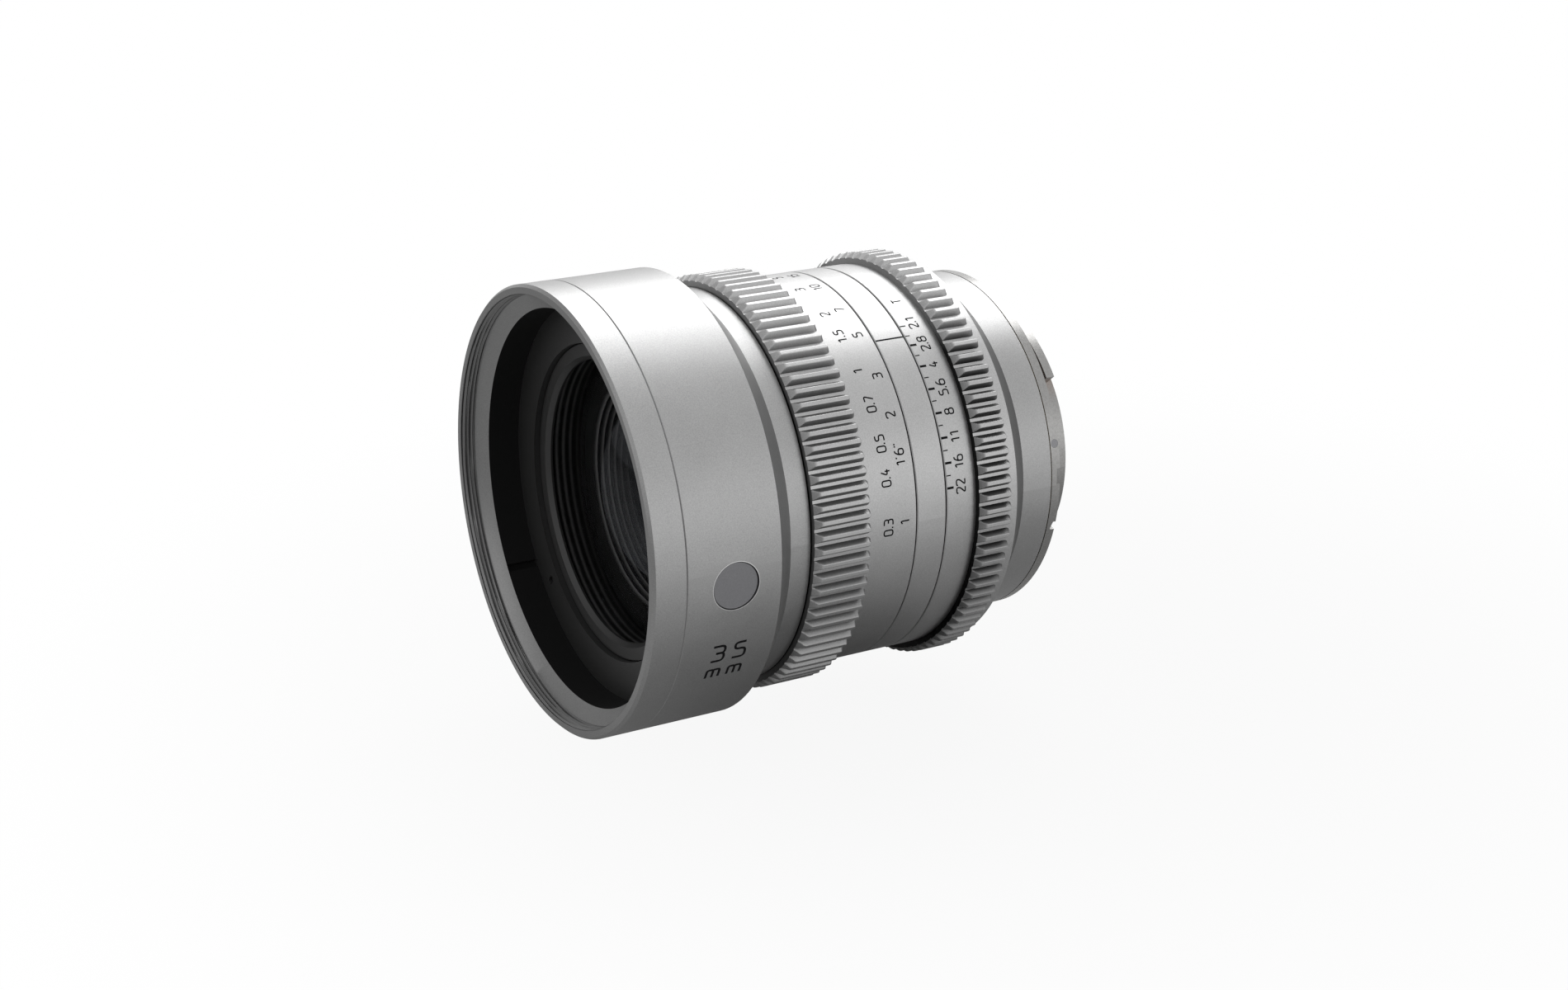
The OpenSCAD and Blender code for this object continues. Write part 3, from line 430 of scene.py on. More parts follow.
def slip_plastic():
    """Pale plastic of the washers."""
    material, start = new_tree("slip_plastic")
    fine = grain(start, 0.5)
    principled(start, {
        "Base Color": fine.shade((0.72, 0.71, 0.68), (0.82, 0.81, 0.78)),
        "Roughness": 0.55 + 0.1 * fine})
    return material


def coated_glass(name, strength):
    """Clear glass: a faint mirror whose strength follows the angle, and clear between."""
    material, start = new_tree(name)
    mirror = start.node("ShaderNodeFresnel", None, {"IOR": 1.5})
    smear = grain(start, 6.0)
    principled(start, {
        "Base Color": (0.80, 0.83, 0.9, 1.0),
        "Metallic": 1.0,
        "Roughness": 0.03 + 0.03 * smear,
        "Alpha": mirror * strength})
    return material


PAINT = engraved_paint()
WASHER = slip_plastic()
GLASS = coated_glass("coated_glass", 0.02)
FRONT_GLASS = coated_glass("front_glass", 0.04)
print("finishes:", len(bpy.data.materials))

# %% [markdown]
# ## A finish for every solid
# Every piece of the real lens has one finish. They could be given out by hand, one object at a time.
# The record already names a material slot for each piece, so a table from slots to finishes is enough.
# A few pieces have a finish of their own, which goes before the slot's.

# %% Give every solid its finish
SLOT_FINISH = {"silver_shell": SILVER, "black_anodised": SATIN_BLACK, "grey_anodised": RING_GREY,
               "coated_glass": GLASS, "steel": STEEL, "brass": BRASS, "slip_washer": WASHER,
               "blade_coating": BLADE, "dot_paint": BADGE_GREY}
NODE_FINISH = {"front_sleeve": MATTE_BLACK, "blank_badge": BADGE_GREY, "ridged_spacer": RIDGE_BLACK,
               "front_element": FRONT_GLASS, "front_cell": CELL_BLACK,
               "mount_flange": MOUNT_STEEL, "index_band": RING_SILVER,
               "focus_ring": RING_SILVER, "iris_ring": RING_SILVER, "rear_barrel": REAR_SILVER}
slot_of = {part["node"]: part["material_slot"] for part in frame["record"]["subparts"]}
for name, solid in nodes.items():
    solid.data.materials.clear()
    solid.data.materials.append(NODE_FINISH.get(name, SLOT_FINISH[slot_of[name]]))
print("solids with a finish:", len(nodes))

# %% [markdown]
# ## Meshes on round bodies
# Nearly everything on a lens is turned on a lathe. A Screw modifier could turn an outline in the same way.
# It can't change the radius on its way round, though, and threads and teeth need that.
# So a mesh here is a grid: columns turn about the axis, rows follow the outline, a formula sets the radius.

# %% Grid meshes
SHARP_ANGLE = math.radians(32)


def mesh_object(name, points, faces, material, body):
    """A mesh in millimetres that moves with a body."""
    mesh = bpy.data.meshes.new(name)
    mesh.from_pydata((np.asarray(points) * MM).tolist(), [], faces)
    mesh.materials.append(material)
    mesh.polygons.foreach_set("use_smooth", [True] * len(mesh.polygons))
    mesh.set_sharp_from_angle(angle=SHARP_ANGLE)
    made = bpy.data.objects.new(name, mesh)
    bpy.context.scene.collection.objects.link(made)
    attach(made, body)
    return made


def round_grid(radii, rows, columns):
    """Points and faces of a closed ring: radii[row, column] at stations rows and angles columns.
    The last row joins the first, so the outline runs right round the ring's section."""
    count = len(columns)
    points = np.empty((len(rows), count, 3))
    points[:, :, 0] = radii * np.cos(columns)
    points[:, :, 1] = np.asarray(rows)[:, None]
    points[:, :, 2] = radii * np.sin(columns)
    faces = []
    for row in range(len(rows)):
        below = row * count
        above = (row + 1) % len(rows) * count
        for column in range(count):
            beside = (column + 1) % count
            faces.append((below + column, below + beside, above + beside, above + column))
    return points.reshape(-1, 3), faces


def mark_painted_shade(made, values):
    """Marks how much painted shade each face gets in the silver finish."""
    marked = made.data.attributes.new("painted_shade", "FLOAT", "FACE")
    marked.data.foreach_set("value", values)


print("grid meshes ready")

# %% [markdown]
# ## Gear teeth
# A follow-focus drive turns the ring through these teeth, so they have the 0.8 module that drives share.
# Each tooth has sloped flanks, a long slope at its front and rounded corners at its rear.
# One tooth could be modelled and repeated with an Array modifier, but its seams would have to be merged.
# Here the height is worked out at every point of a grid: the tooth's own, cut back by both ends.

# %% Shape of one tooth
GEAR_MODULE = 0.8
TEETH = 92
PITCH_ANGLE = FULL_TURN / TEETH
TOOTH_DEPTH = 1.375 * GEAR_MODULE
TIP_HALF = 0.36
ROOT_HALF = 0.975
FRONT_SLOPE = 1.3
FRONT_STEP = 0.12
REAR_ROUND = 0.92
REAR_LEAN = 1.1
EDGE_WIDTH = 0.12
root_r = tip_r - TOOTH_DEPTH


def soft_least(first, second, width):
    """The lesser of two heights, rounded over where they cross."""
    mixing = np.clip(0.5 + 0.5 * (second - first) / width, 0.0, 1.0)
    return second * (1 - mixing) + first * mixing - width * mixing * (1 - mixing)


def tooth_height(across, from_front, to_rear):
    """Height over the root at a distance across from the tooth's middle, from its front and to its rear."""
    from_side = ROOT_HALF - np.abs(across)
    from_end = np.full_like(across, to_rear * REAR_LEAN)
    corner = np.hypot(np.maximum(REAR_ROUND - from_side, 0.0), np.maximum(REAR_ROUND - from_end, 0.0))
    inside = np.where(corner > 0, REAR_ROUND - corner, np.minimum(from_side, from_end))
    flank = inside / (ROOT_HALF - TIP_HALF) * TOOTH_DEPTH
    slope = FRONT_STEP + from_front / FRONT_SLOPE * TOOTH_DEPTH
    height = soft_least(flank, TOOTH_DEPTH, EDGE_WIDTH)
    height = soft_least(height, slope, EDGE_WIDTH)
    return np.clip(height, 0.0, TOOTH_DEPTH)


print("tooth depth", round(TOOTH_DEPTH, 3), "root radius", round(root_r, 3))

# %% [markdown]
# ## A ring with teeth
# The edges of real teeth are crisp. An even grid could show that, but it would need very many columns.
# So the columns crowd together where a flank meets the tip or the root.
# Faces that look aside are the flanks and the slopes. They get painted shade, most of all near the root.

# %% Rings with teeth
HALF_TOOTH = [0, 0.05, 0.09, 0.12, 0.14, 0.155, 0.17, 0.22, 0.27, 0.32, 0.36, 0.385, 0.40, 0.44]
SLOPE_ROWS = np.linspace(0, FRONT_SLOPE + 0.3, 9)
TAIL_ROWS = np.linspace(REAR_ROUND, 0, 17)
# painted shade on the flanks: gain for faces that look aside, strength at the root, fade to the tip
ASIDE_GAIN = 3
ROOT_SHADE = 1.3
TIP_FADE = 0.6


def tooth_columns(phase):
    """Angles round the gear, closer together where a flank meets the tip or the root."""
    offsets = sorted(set([-value for value in HALF_TOOTH] + HALF_TOOTH + [0.5]))
    return np.array([phase + (tooth + offset) * PITCH_ANGLE for tooth in range(TEETH) for offset in offsets])


def flank_shade(face, gear_front, gear_rear):
    """How much painted shade a face gets: 0 off the gear and on the tips, more on the flanks and near the
    root.
    """
    x, y, z = face.center / MM
    if not gear_front < y < gear_rear:
        return 0.0
    aside = 1 - abs(face.normal.dot(Vector((x, 0, z)).normalized()))
    height = (math.hypot(x, z) - root_r) / TOOTH_DEPTH
    return min(1.0, ASIDE_GAIN * aside) * (ROOT_SHADE - TIP_FADE * height)


def geared_ring(name, node, gear_front, gear_rear, phase, rows_before, rows_after, shade):
    """A ring with teeth from gear_front to gear_rear, between plain rows of (station, radius).
    It replaces a node, and moves with the body of that name."""
    columns = tooth_columns(phase)
    turn = (columns - phase) / PITCH_ANGLE
    across = (turn - np.round(turn)) * PITCH_ANGLE * (tip_r - TOOTH_DEPTH / 2)
    gear_rows = np.concatenate([gear_front + SLOPE_ROWS, gear_rear - TAIL_ROWS])
    rows = [y for y, r in rows_before] + list(gear_rows) + [y for y, r in rows_after]
    radii = [np.full(len(columns), r) for y, r in rows_before]
    radii += [root_r + tooth_height(across, y - gear_front, gear_rear - y) for y in gear_rows]
    radii += [np.full(len(columns), r) for y, r in rows_after]
    points, faces = round_grid(np.array(radii), rows, columns)
    made = mesh_object(name, points, faces, RING_SILVER, node)
    mark_painted_shade(made, [shade * flank_shade(face, gear_front, gear_rear) for face in made.data.polygons])
    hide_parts(node)
    print(name, "faces:", len(faces))


print("columns round a gear:", len(tooth_columns(0.0)))

# %% [markdown]
# ## The focus ring
# The focus puller turns this ring. Its gear is at the front, and its scale is behind.
# Its section could be a drawn curve, but a list of stations and radii follows the solid it replaces.
# The list starts at the rear of the bore, runs forward inside and comes back outside.

# %% The focus ring
SEAM = 0.15
FOCUS_GEAR_LEN = 11.1
FOCUS_PHASE = math.radians(1.82)
FOCUS_BORE_R = 31.0
# strength of the painted shade between the focus gear's teeth
FOCUS_SHADE = 0.95
focus_gear_rear = focus_front + FOCUS_GEAR_LEN
geared_ring(
    "focus_ring_geared", "focus_ring", focus_front, focus_gear_rear, FOCUS_PHASE,
    [(focus_rear, FOCUS_BORE_R), (focus_front, FOCUS_BORE_R), (focus_front, band_r)],
    [(focus_gear_rear, band_r), (focus_rear - SEAM, band_r), (focus_rear, band_r - SEAM)],
    FOCUS_SHADE)

# %% [markdown]
# ## The iris ring
# This ring opens and closes the blades. It is the other way round: the scale in front, the gear behind.
# It could be a changed copy of the focus ring, but the same function makes it from other rows.

# %% The iris ring
IRIS_SCALE_LEN = 6.0
IRIS_GEAR_LEN = 6.7
IRIS_PHASE = math.radians(-0.09)
IRIS_BORE_R = 32.05
# strength of the painted shade between the iris gear's teeth
IRIS_SHADE = 1.6
iris_gear_front = iris_front + IRIS_SCALE_LEN
iris_gear_rear = iris_gear_front + IRIS_GEAR_LEN
geared_ring(
    "iris_ring_geared", "iris_ring", iris_gear_front, iris_gear_rear, IRIS_PHASE,
    [(iris_rear, IRIS_BORE_R), (iris_front, IRIS_BORE_R), (iris_front, band_r - SEAM),
     (iris_front + SEAM, band_r), (iris_gear_front, band_r)],
    [(iris_rear - SEAM, root_r), (iris_rear, root_r - SEAM)],
    IRIS_SHADE)

# %% [markdown]
# ## The filter thread
# Inside the front rim a fine thread takes a screw-in filter. It winds once round for each pitch of depth.
# A Screw modifier could wind it, but the ends of the winding would stay loose.
# Here the radius of the bore follows a triangle wave that shifts with the angle, which makes a true helix.
# The thread fades out at both ends, and its mouth opens in a small flare.
# The thread's grooves and the lip behind them get painted shade.

# %% The front ring with its thread
THREAD_PITCH = 0.75
THREAD_DEPTH = 0.4
THREAD_LEN = 2.8
THREAD_R = 38.095
THREAD_ROWS = 33
THREAD_COLUMNS = 288
FADE_IN = 0.5
FADE_OUT = 0.3
FLARE_LEN = 0.4
FLARE = 0.7
LIP_DEPTH = 4.4
LIP_R = 35.4
BARREL_BORE_R = 37.2
RIM_BEVEL = 0.5
# painted shade in the thread's grooves and on the lip behind it
THREAD_SHADE = 0.9
LIP_SHADE = 0.1


def thread_radii(depth, columns):
    """Radii of the threaded bore round the ring at a depth behind the rim."""
    triangle = np.abs((depth / THREAD_PITCH + columns / FULL_TURN) % 1.0 - 0.5) * 2
    fade = min(1.0, depth / FADE_IN) * min(1.0, max(0.0, (THREAD_LEN - depth) / FADE_OUT))
    flare = max(0.0, 1 - depth / FLARE_LEN) * FLARE
    return THREAD_R + THREAD_DEPTH * (triangle * fade + flare)


def front_ring_with_thread():
    columns = np.linspace(0, FULL_TURN, THREAD_COLUMNS, endpoint=False)
    depths = np.linspace(0, THREAD_LEN, THREAD_ROWS)
    outside = [(front_ring_rear, BARREL_BORE_R), (front_ring_rear, front_r - SEAM),
               (front_ring_rear - SEAM, front_r), (lens_front + RIM_BEVEL, front_r),
               (lens_front, front_r - RIM_BEVEL)]
    lip = [(lens_front + LIP_DEPTH, LIP_R), (lens_front + LIP_DEPTH, BARREL_BORE_R)]
    rows = [y for y, r in outside] + list(lens_front + depths) + [y for y, r in lip]
    radii = [np.full(THREAD_COLUMNS, r) for y, r in outside]
    radii += [thread_radii(depth, columns) for depth in depths]
    radii += [np.full(THREAD_COLUMNS, r) for y, r in lip]
    points, faces = round_grid(np.array(radii), rows, columns)
    made = mesh_object("front_ring_threaded", points, faces, SILVER, "lens_barrel")
    # painted shade by rows: none outside, some on the thread, a little on the lip
    row_shade = [0.0] * len(outside) + [THREAD_SHADE] * (THREAD_ROWS - 1) + [LIP_SHADE] * (len(lip) + 1)
    mark_painted_shade(made, np.repeat(row_shade, THREAD_COLUMNS))
    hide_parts("front_ring")
    print("front ring faces:", len(faces))


front_ring_with_thread()

# %% [markdown]
# ## Engraved scales
# The distances and stops are cut with one round cutter and filled with black paint.
# Blender's text could give the figures, but as outlines in a printer's letters.
# A cutter's figure is a path: a few corners, rounded off, swept with a constant width.
# Each figure fits a square from 0 to 1, and a few are narrower or wider than that.

# %% Figures as cutter paths
FIGURES = {
    "0": [("loop", [(0, 0), (1, 0), (1, 1), (0, 1)])],
    "1": [("path", [(0.25, 0.78), (0.75, 1), (0.75, 0)])],
    "2": [("path", [(0, 0.82), (0, 1), (1, 1), (1, 0.62), (0, 0), (1.05, 0)])],
    "3": [("path", [(0, 1), (1, 1), (1, 0.53), (0.3, 0.53)]),
          ("path", [(0.3, 0.53), (1, 0.53), (1, 0), (0, 0)])],
    "4": [("path", [(0.55, 1), (0, 0.3), (1.05, 0.3)]), ("path", [(0.72, 0.55), (0.72, 0)])],
    "5": [("path", [(0.95, 1), (0.08, 1), (0.08, 0.58), (1, 0.58), (1, 0), (0, 0)])],
    "6": [("path", [(0.75, 1), (0.4, 1), (0, 0.58), (0, 0.3)]),
          ("loop", [(0, 0), (1, 0), (1, 0.58), (0, 0.58)])],
    "7": [("path", [(0, 1), (1, 1), (0.35, 0)])],
    "8": [("loop", [(0.06, 0.54), (0.94, 0.54), (0.94, 1), (0.06, 1)]),
          ("loop", [(0, 0), (1, 0), (1, 0.54), (0, 0.54)])],
    ".": [("path", [(0.0, -0.04), (0.0, 0.13)])],
    "'": [("path", [(0.1, 1.0), (0.0, 0.84)])],
    '"': [("path", [(0.1, 1.0), (0.0, 0.84)]), ("path", [(0.5, 1.0), (0.4, 0.84)])],
    "T": [("path", [(0, 1), (1, 1)]), ("path", [(0.5, 1), (0.5, 0)])],
    "∞": [("loop", [(0, 0.2), (0.75, 0.2), (0.75, 0.8), (0, 0.8)]),
          ("loop", [(0.75, 0.2), (1.5, 0.2), (1.5, 0.8), (0.75, 0.8)])],
    "m": [("path", [(0, 0), (0, 1), (0.5, 1), (0.5, 0)]), ("path", [(0.5, 0.98), (1, 1), (1, 0)])]}
WIDTHS = {".": 0.12, "'": 0.2, '"': 0.6, "1": 0.75, "∞": 1.5}
SHIFTS = {"1": 0.25}
print("figures:", len(FIGURES))

# %% [markdown]
# ## From corners to words
# The cutter takes each corner in a small curve. A Bezier curve could do so too.
# Plain points are easier to bend round a ring later, so a corner becomes a few points on a short curve.
# A word then sets its figures side by side, with its middle at the origin.

# %% Paths of words
CORNER = 0.24
CORNER_STEPS = 5
CORNER_LIMIT = 0.45


def towards(here, there, size):
    """A point on the way from here to there, size away but never near the middle."""
    length = np.linalg.norm(there - here)
    return here + (there - here) / length * min(size, CORNER_LIMIT * length)


def rounded(corners, closed, size):
    """Points along a path through the corners, with each corner turned into a short curve."""
    corners = np.array(corners, float)
    last = len(corners) - 1
    points = []
    for index, here in enumerate(corners):
        if not closed and index in (0, last):
            points.append(here)
            continue
        start = towards(here, corners[index - 1], size)
        end = towards(here, corners[(index + 1) % len(corners)], size)
        for step in np.linspace(0, 1, CORNER_STEPS):
            points.append((1 - step) ** 2 * start + 2 * step * (1 - step) * here + step ** 2 * end)
    return np.array(points)


def word_paths(word, height, glyph_w, gap):
    """Paths of a word, read along x with its tops along y, with its middle at the origin."""
    paths = []
    cursor = 0.0
    for letter in word:
        shift = SHIFTS.get(letter, 0.0) * glyph_w
        for kind, corners in FIGURES[letter]:
            scaled = [(cursor + x * glyph_w - shift, y * height) for x, y in corners]
            paths.append((rounded(scaled, kind == "loop", CORNER * height), kind == "loop"))
        cursor += WIDTHS.get(letter, 1.0) * glyph_w + gap
    return [(path - [(cursor - gap) / 2, height / 2], closed) for path, closed in paths]


print("points in a figure 8:", sum(len(path) for path, closed in word_paths("8", 1, 1, 0)))

# %% [markdown]
# ## Strips bent round a ring
# On the ring, paint fills a shallow groove. A Boolean could cut it, but so many cuts would spoil the grid.
# So each stroke is a thin strip let into the metal, with a top, a bottom, two sides and two ends.
# Its top stands a hair above the metal, so that two surfaces never fight for the same place.

# %% Engrave a ring
PROUD = 0.012
SUNK = 0.06


def edges(path, closed, width):
    """Left and right edges of a strip of constant width along a path."""
    if closed:
        ahead = np.roll(path, -1, axis=0) - np.roll(path, 1, axis=0)
    else:
        ahead = np.gradient(path, axis=0)
    ahead /= np.linalg.norm(ahead, axis=1)[:, None]
    side = np.column_stack([-ahead[:, 1], ahead[:, 0]]) * width / 2
    return path + side, path - side


def strip_faces(first, count, closed):
    """Faces of a strip with count points on each edge: top left and right, bottom left and right."""
    a, b, c, d = (first + part * count for part in range(4))
    faces = []
    for index in range(count if closed else count - 1):
        after = (index + 1) % count
        faces.append((a + index, a + after, b + after, b + index))
        faces.append((c + index, d + index, d + after, c + after))
        faces.append((a + index, c + index, c + after, a + after))
        faces.append((b + index, b + after, d + after, d + index))
    if not closed:
        for index in (0, count - 1):
            faces.append((a + index, b + index, d + index, c + index))
    return faces


def engrave(name, strips, ring_r, body, material=PAINT):
    """Bends flat strips round a ring. A strip is (path, closed, width, angle, station)."""
    points = []
    faces = []
    for path, closed, width, angle, y in strips:
        left, right_edge = edges(path, closed, width)
        faces += strip_faces(len(points), len(path), closed)
        for r in (ring_r + PROUD, ring_r - SUNK):
            for edge in (left, right_edge):
                for sideways, tall in edge:
                    turn = angle + sideways / ring_r
                    points.append((r * math.cos(turn), y - tall, r * math.sin(turn)))
    mesh_object(name, points, faces, material, body)
    print(name, "strips:", len(strips))


print("engraving ready")

# %% [markdown]
# ## Words and ticks in their places
# Scale figures stand with their tops towards the front. A tick is a straight cut along the axis.
# They could be objects of their own, turned into place, but a scale would then be dozens of objects.
# So each stroke gets its angle and station, and one mesh takes them all.
# A tick's size is its length and its width.

# %% Place words and ticks
FIGURE_H = 1.75
FIGURE_W = 0.98
FIGURE_GAP = 0.41
LINE_W = 0.26


def place_word(word, angle_deg, y):
    """A scale's word round the ring, with its tops towards the front."""
    return [(path, closed, LINE_W, math.radians(angle_deg), y)
            for path, closed in word_paths(word, FIGURE_H, FIGURE_W, FIGURE_GAP)]


def place_line(word, height, glyph_w, gap, width, angle_deg, y):
    """A word along the axis, read towards the rear, with its tops up round the barrel."""
    return [(path @ [[0, -1], [1, 0]], closed, width, math.radians(angle_deg), y)
            for path, closed in word_paths(word, height, glyph_w, gap)]


def place_tick(length, width, angle_deg, y):
    """A straight cut along the axis, from station y towards the rear."""
    path = np.array([(0.0, 0.0), (0.0, -length / 2), (0.0, -length)])
    return [(path, False, width, math.radians(angle_deg), y)]


print("words and ticks ready")

# %% [markdown]
# ## The distance scale
# Distances in metres and in feet turn with the focus ring, and the one at the index line is in focus.
# A formula could place them, but a real scale is measured and cut for its own lens.
# So the angles are listed, as its maker would list them.

# %% The distance scale on the focus ring
METRE_ROW = lens_front + 47.4
FOOT_ROW = lens_front + 50.7
METRES = {"0.3": 0.0, "0.4": 14.1, "0.5": 23.7, "0.7": 35.1, "1": 45.3, "1.5": 57.5, "2": 66.7,
          "3": 81.2, "5": 94.0, "10": 111.0, "∞": 134.8}
FEET = {"1": 0.9, "1'6\"": 20.0, "2": 31.1, "3": 42.8, "5": 56.9, "7": 67.9, "10": 81.3,
        "15": 93.8, "30": 110.0, "∞": 134.8}
distance_strips = []
for word, angle in METRES.items():
    distance_strips += place_word(word, angle, METRE_ROW)
for word, angle in FEET.items():
    distance_strips += place_word(word, angle, FOOT_ROW)
engrave("distance_scale", distance_strips, band_r, "focus_ring")

# %% [markdown]
# ## The stop scale
# The stops turn with the iris ring. Each one lets in half the light of the one before.
# They could be listed too, but on this ring all the steps are equal, so a loop sets them.
# Only the widest opening, which is less than a step away, has a place of its own.

# %% The stop scale on the iris ring
STOP_ROW = lens_front + 62.3
STOPS = ["2.8", "4", "5.6", "8", "11", "16", "22"]
FIRST_STOP = 50.5
STOP_STEP = 7.1
LETTER_ANGLE = 67.6
OPEN_STOP = "2.1"
OPEN_STOP_ANGLE = 58.3
OPEN_TICK_ANGLE = 57.43
FIRST_HALF_ANGLE = 53.8
OPEN_TICK = (1.2, 0.24)
FULL_TICK = (1.3, 0.42)
HALF_TICK = (0.9, 0.2)
tick_front = iris_front + SEAM
stop_strips = place_word("T", LETTER_ANGLE, STOP_ROW)
stop_strips += place_word(OPEN_STOP, OPEN_STOP_ANGLE, STOP_ROW)
stop_strips += place_tick(*OPEN_TICK, OPEN_TICK_ANGLE, tick_front)
stop_strips += place_tick(*HALF_TICK, FIRST_HALF_ANGLE, tick_front)
for index, word in enumerate(STOPS):
    angle = FIRST_STOP - index * STOP_STEP
    stop_strips += place_word(word, angle, STOP_ROW)
    stop_strips += place_tick(*FULL_TICK, angle, tick_front)
    if index < len(STOPS) - 1:
        stop_strips += place_tick(*HALF_TICK, angle - STOP_STEP / 2, tick_front)
engrave("stop_scale", stop_strips, band_r, "iris_ring")

# %% [markdown]
# ## The index line
# The fixed band between the rings has one line, and both scales are read at it.
# A finish could paint it, but a strip like those of the ticks lines up with them exactly.

# %% The index line on the fixed band
INDEX_ANGLE = 53.8
INDEX_W = 0.3
index_len = index_rear - index_front - 2 * SEAM
index_strips = place_tick(index_len, INDEX_W, INDEX_ANGLE, index_front + SEAM)
engrave("index_line", index_strips, band_r, "lens_barrel")

# %% [markdown]
# ## The number on the barrel
# A plain number on the side tells one lens of a set from the next. It is read along the axis.
# It could have figures of its own, but the scales' paths, turned by a quarter, do as well.
# The size of a line of text is the height of its figures, their width and the gap between them.

# %% The plain number on the front barrel
NUMBER_ROW = lens_front + 15.45
NUMBER_LINE_W = 0.46
NUMBER_SIZE = (3.4, 2.25, 1.75)
UNIT_SIZE = (2.0, 2.4, 1.65)
NUMBER_ANGLE = -23.05
UNIT_ANGLE = -30.0
number_strips = place_line("35", *NUMBER_SIZE, NUMBER_LINE_W, NUMBER_ANGLE, NUMBER_ROW)
number_strips += place_line("mm", *UNIT_SIZE, NUMBER_LINE_W, UNIT_ANGLE, NUMBER_ROW)
engrave("barrel_number", number_strips, front_r, "lens_barrel")

# %% [markdown]
# ## The edge of the round recess
# A plain disc is let into the barrel, and the edge of its recess catches the light.
# A bevel on the solid could show that, but the solids stay as they are.
# So a narrow closed strip, bent like the engraving, gives the edge a painted highlight in bright metal.

# %% The painted highlight on the edge of the badge's recess
BADGE_ANGLE = math.radians(-4.2)
BADGE_EDGE_R = 4.36
BADGE_EDGE_W = 0.12
BADGE_STEPS = 64
badge_station = sum(station("blank_badge")) / 2
edge_turn = np.linspace(0, FULL_TURN, BADGE_STEPS, endpoint=False)
edge_path = np.column_stack([np.cos(edge_turn), np.sin(edge_turn)]) * BADGE_EDGE_R
edge_strip = (edge_path, True, BADGE_EDGE_W, BADGE_ANGLE, badge_station)
# bright metal strip: a painted highlight where the recess's edge would catch the light
engrave("badge_edge", [edge_strip], front_r, "lens_barrel", RIM_HIGHLIGHT_METAL)

# %% [markdown]
# ## Who sees the white room
# A studio for metal is mostly a white room, because metal takes its tones from what it mirrors.
# White cards and dark flags could be built round the lens, but they would stand in the way of other views.
# So masks tell the floor and the world what kind of ray is asking. Both are white to the camera.
# To metal, they are dimmer ahead of the lens and to its left.

# %% Masks for the room
AHEAD_DIM = 0.35
LEFT_DIM = 0.85


def ray(start, kind):
    """1 for rays of a kind, and 0 for the others."""
    return start.node("ShaderNodeLightPath", out=kind)


def background_rays(start):
    """1 for rays that should see the white background, from the camera or through glass."""
    return ray(start, "Is Camera Ray").greatest(ray(start, "Is Transmission Ray"))


def soft_rise(value, first, last):
    """Grows gently from 0 to 1 as a value goes from first to last."""
    return rise(value, first, last, "SMOOTHSTEP")


print("masks ready")

# %% [markdown]
# ## The floor
# The lens is shown over a pale sheet. A curved sheet could hide the horizon, but a white world hides it too.
# So the floor is flat. It is white to the camera, but keeps a faint shadow near the lens.

# %% Make the floor
FLOOR_Z = -0.046
FLOOR_R = 6.0
SHADOW_MIDDLE = Vector((0, 0.005, 0))
SHADOW_START = 0.05
SHADOW_END = 0.22
SHADOW_SHARE = 0.08
FLOOR_AHEAD = (-0.25, -0.03)
FLOOR_LEFT = (-0.08, 0.0)


def floor_material():
    """White to the camera, and to metal beyond the object's shadow."""
    material, start = new_tree("pale_floor")
    lit = start.node("ShaderNodeBsdfDiffuse", None, {"Color": (0.5, 0.5, 0.5, 1)})
    white = start.node("ShaderNodeEmission", None, {"Color": (1, 1, 1, 1), "Strength": 1.0})
    point = start.node("ShaderNodeNewGeometry", out="Position")
    away = start.node("ShaderNodeVectorMath", {"operation": "DISTANCE"}, {0: point, 1: SHADOW_MIDDLE},
                      out="Value")
    beyond = soft_rise(away, SHADOW_START, SHADOW_END)
    left = 1 - LEFT_DIM * (1 - soft_rise(along(point, "X"), *FLOOR_LEFT))
    ahead = soft_rise(along(point, "Y"), *FLOOR_AHEAD)
    mirrored = ray(start, "Is Glossy Ray") * beyond * ahead * left
    seen = background_rays(start) * (1 - SHADOW_SHARE + SHADOW_SHARE * beyond)
    mask = seen.greatest(mirrored)
    surface(start, start.node("ShaderNodeMixShader", None, {0: mask, 1: lit, 2: white}))
    return material


floor_mesh = bpy.data.meshes.new("floor")
floor_corners = [(x * FLOOR_R, y * FLOOR_R, FLOOR_Z) for x, y in ((-1, -1), (1, -1), (1, 1), (-1, 1))]
floor_mesh.from_pydata(floor_corners, [], [(0, 1, 2, 3)])
floor_mesh.materials.append(floor_material())
floor = bpy.data.objects.new("floor", floor_mesh)
bpy.context.scene.collection.objects.link(floor)
print("floor at", FLOOR_Z)

# %% [markdown]
# ## The world
# The world stands for the walls. A picture of a studio could light the lens, but two plain greys are enough.
# The camera, glass and most of what metal mirrors get the white one.
# Matte surfaces get the dimmer one, so that the black pieces stay black.

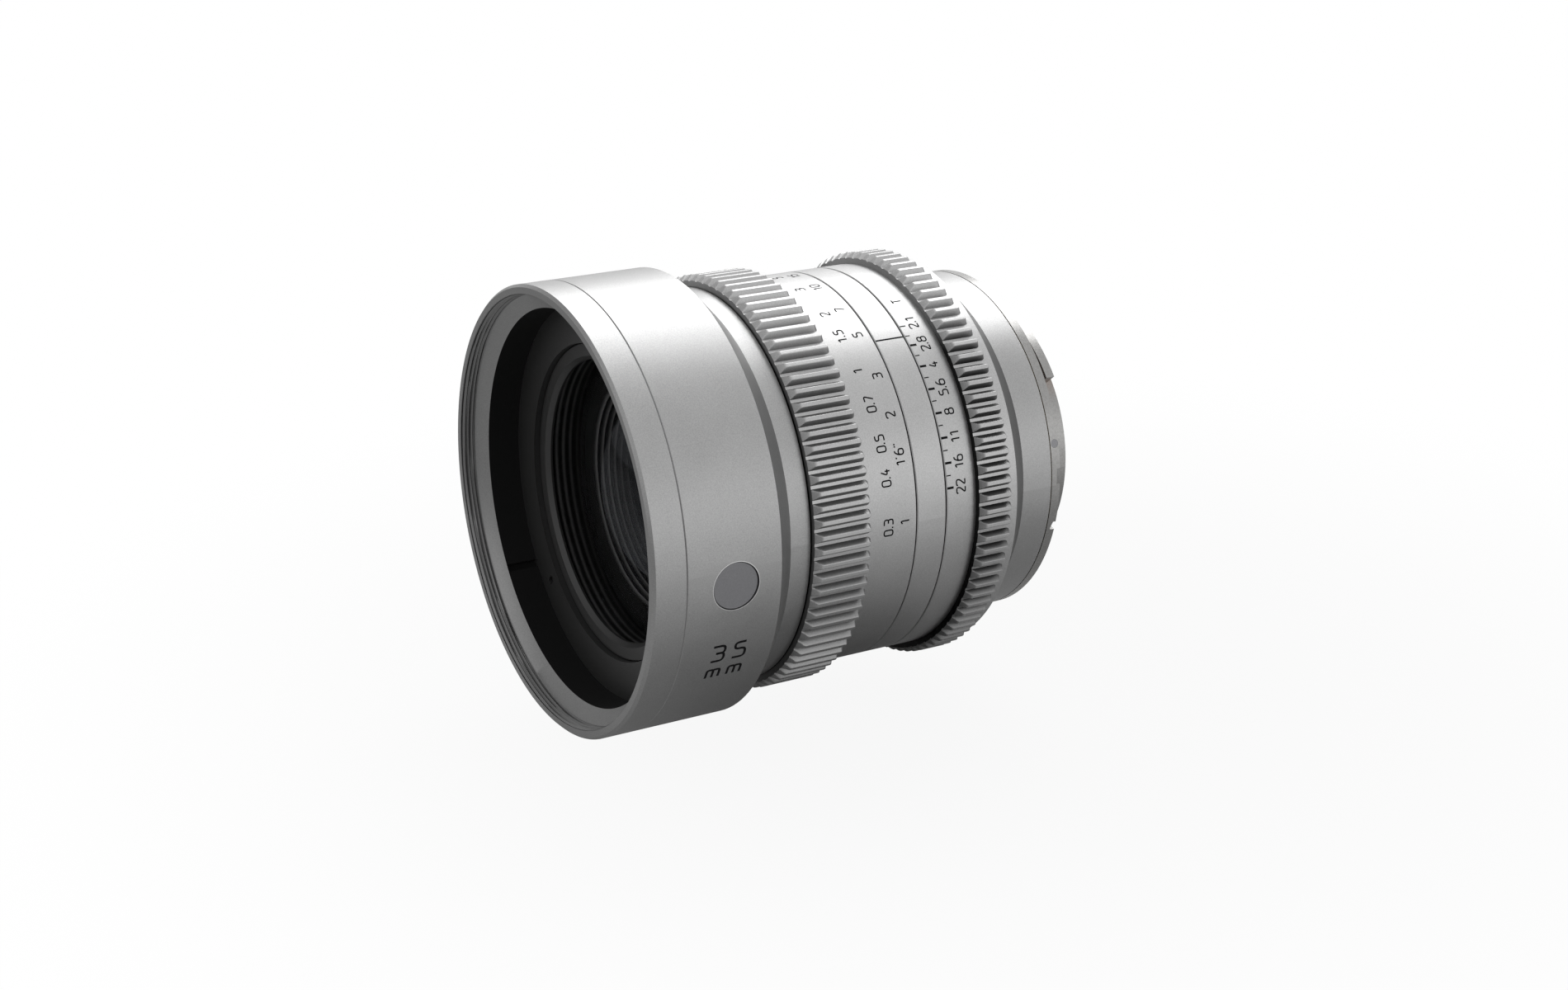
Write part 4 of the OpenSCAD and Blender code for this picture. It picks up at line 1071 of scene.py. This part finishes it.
# %% Make the world
WORLD_AHEAD = (-0.9, -0.2)
WORLD_FRONT = (-0.4, 0.1)
WORLD_LEFT = (-0.65, 0.0)
DIM_ROOM = 0.4


def make_world():
    world = bpy.data.worlds.new("studio")
    world.use_nodes = True
    world.node_tree.nodes.clear()
    start = Flow(world.node_tree)
    direction = start.node("ShaderNodeTexCoord", out="Generated")
    rearward = along(direction, "Y")
    ahead = 1 - AHEAD_DIM * (1 - soft_rise(rearward, *WORLD_AHEAD))
    front = 1 - soft_rise(rearward, *WORLD_FRONT)
    left = 1 - LEFT_DIM * (1 - soft_rise(along(direction, "X"), *WORLD_LEFT)) * front
    mask = background_rays(start).greatest(ray(start, "Is Glossy Ray") * ahead * left)
    white = start.node("ShaderNodeBackground", None, {"Color": (1, 1, 1, 1), "Strength": 1.0})
    dim = start.node("ShaderNodeBackground", None, {"Color": (1, 1, 1, 1), "Strength": DIM_ROOM})
    room = start.node("ShaderNodeMixShader", None, {0: mask, 1: dim, 2: white})
    start.node("ShaderNodeOutputWorld", None, {"Surface": room})
    bpy.context.scene.world = world


make_world()
print("world nodes:", len(bpy.context.scene.world.node_tree.nodes))

# %% [markdown]
# ## The lamps
# A large soft lamp above and behind gives the wide bright band along the top of the barrel.
# A small lamp could be as bright, but it would draw a hard streak.
# A weak lamp at the side lifts the shade a little. Both face the lens.

# %% Place the lamps
LENS_MIDDLE = Vector((0, -0.045, 0))


def soft_lamp(name, direction, distance, size, power):
    """A rectangular lamp in a direction from the lens, facing it. Sizes are in metres."""
    data = bpy.data.lights.new(name, "AREA")
    data.shape = "RECTANGLE"
    data.size = size[0]
    data.size_y = size[1]
    data.energy = power
    lamp = bpy.data.objects.new(name, data)
    away = Vector(direction).normalized()
    lamp.location = LENS_MIDDLE + away * distance
    lamp.rotation_euler = away.to_track_quat("Z", "Y").to_euler()
    bpy.context.scene.collection.objects.link(lamp)
    print(name, "power", power)


soft_lamp("top_lamp", (-0.44, 0.48, 0.75), 0.8, (0.7, 0.55), 4.3)
soft_lamp("side_lamp", (0.86, 0.47, 0.18), 0.9, (0.4, 0.4), 0.25)
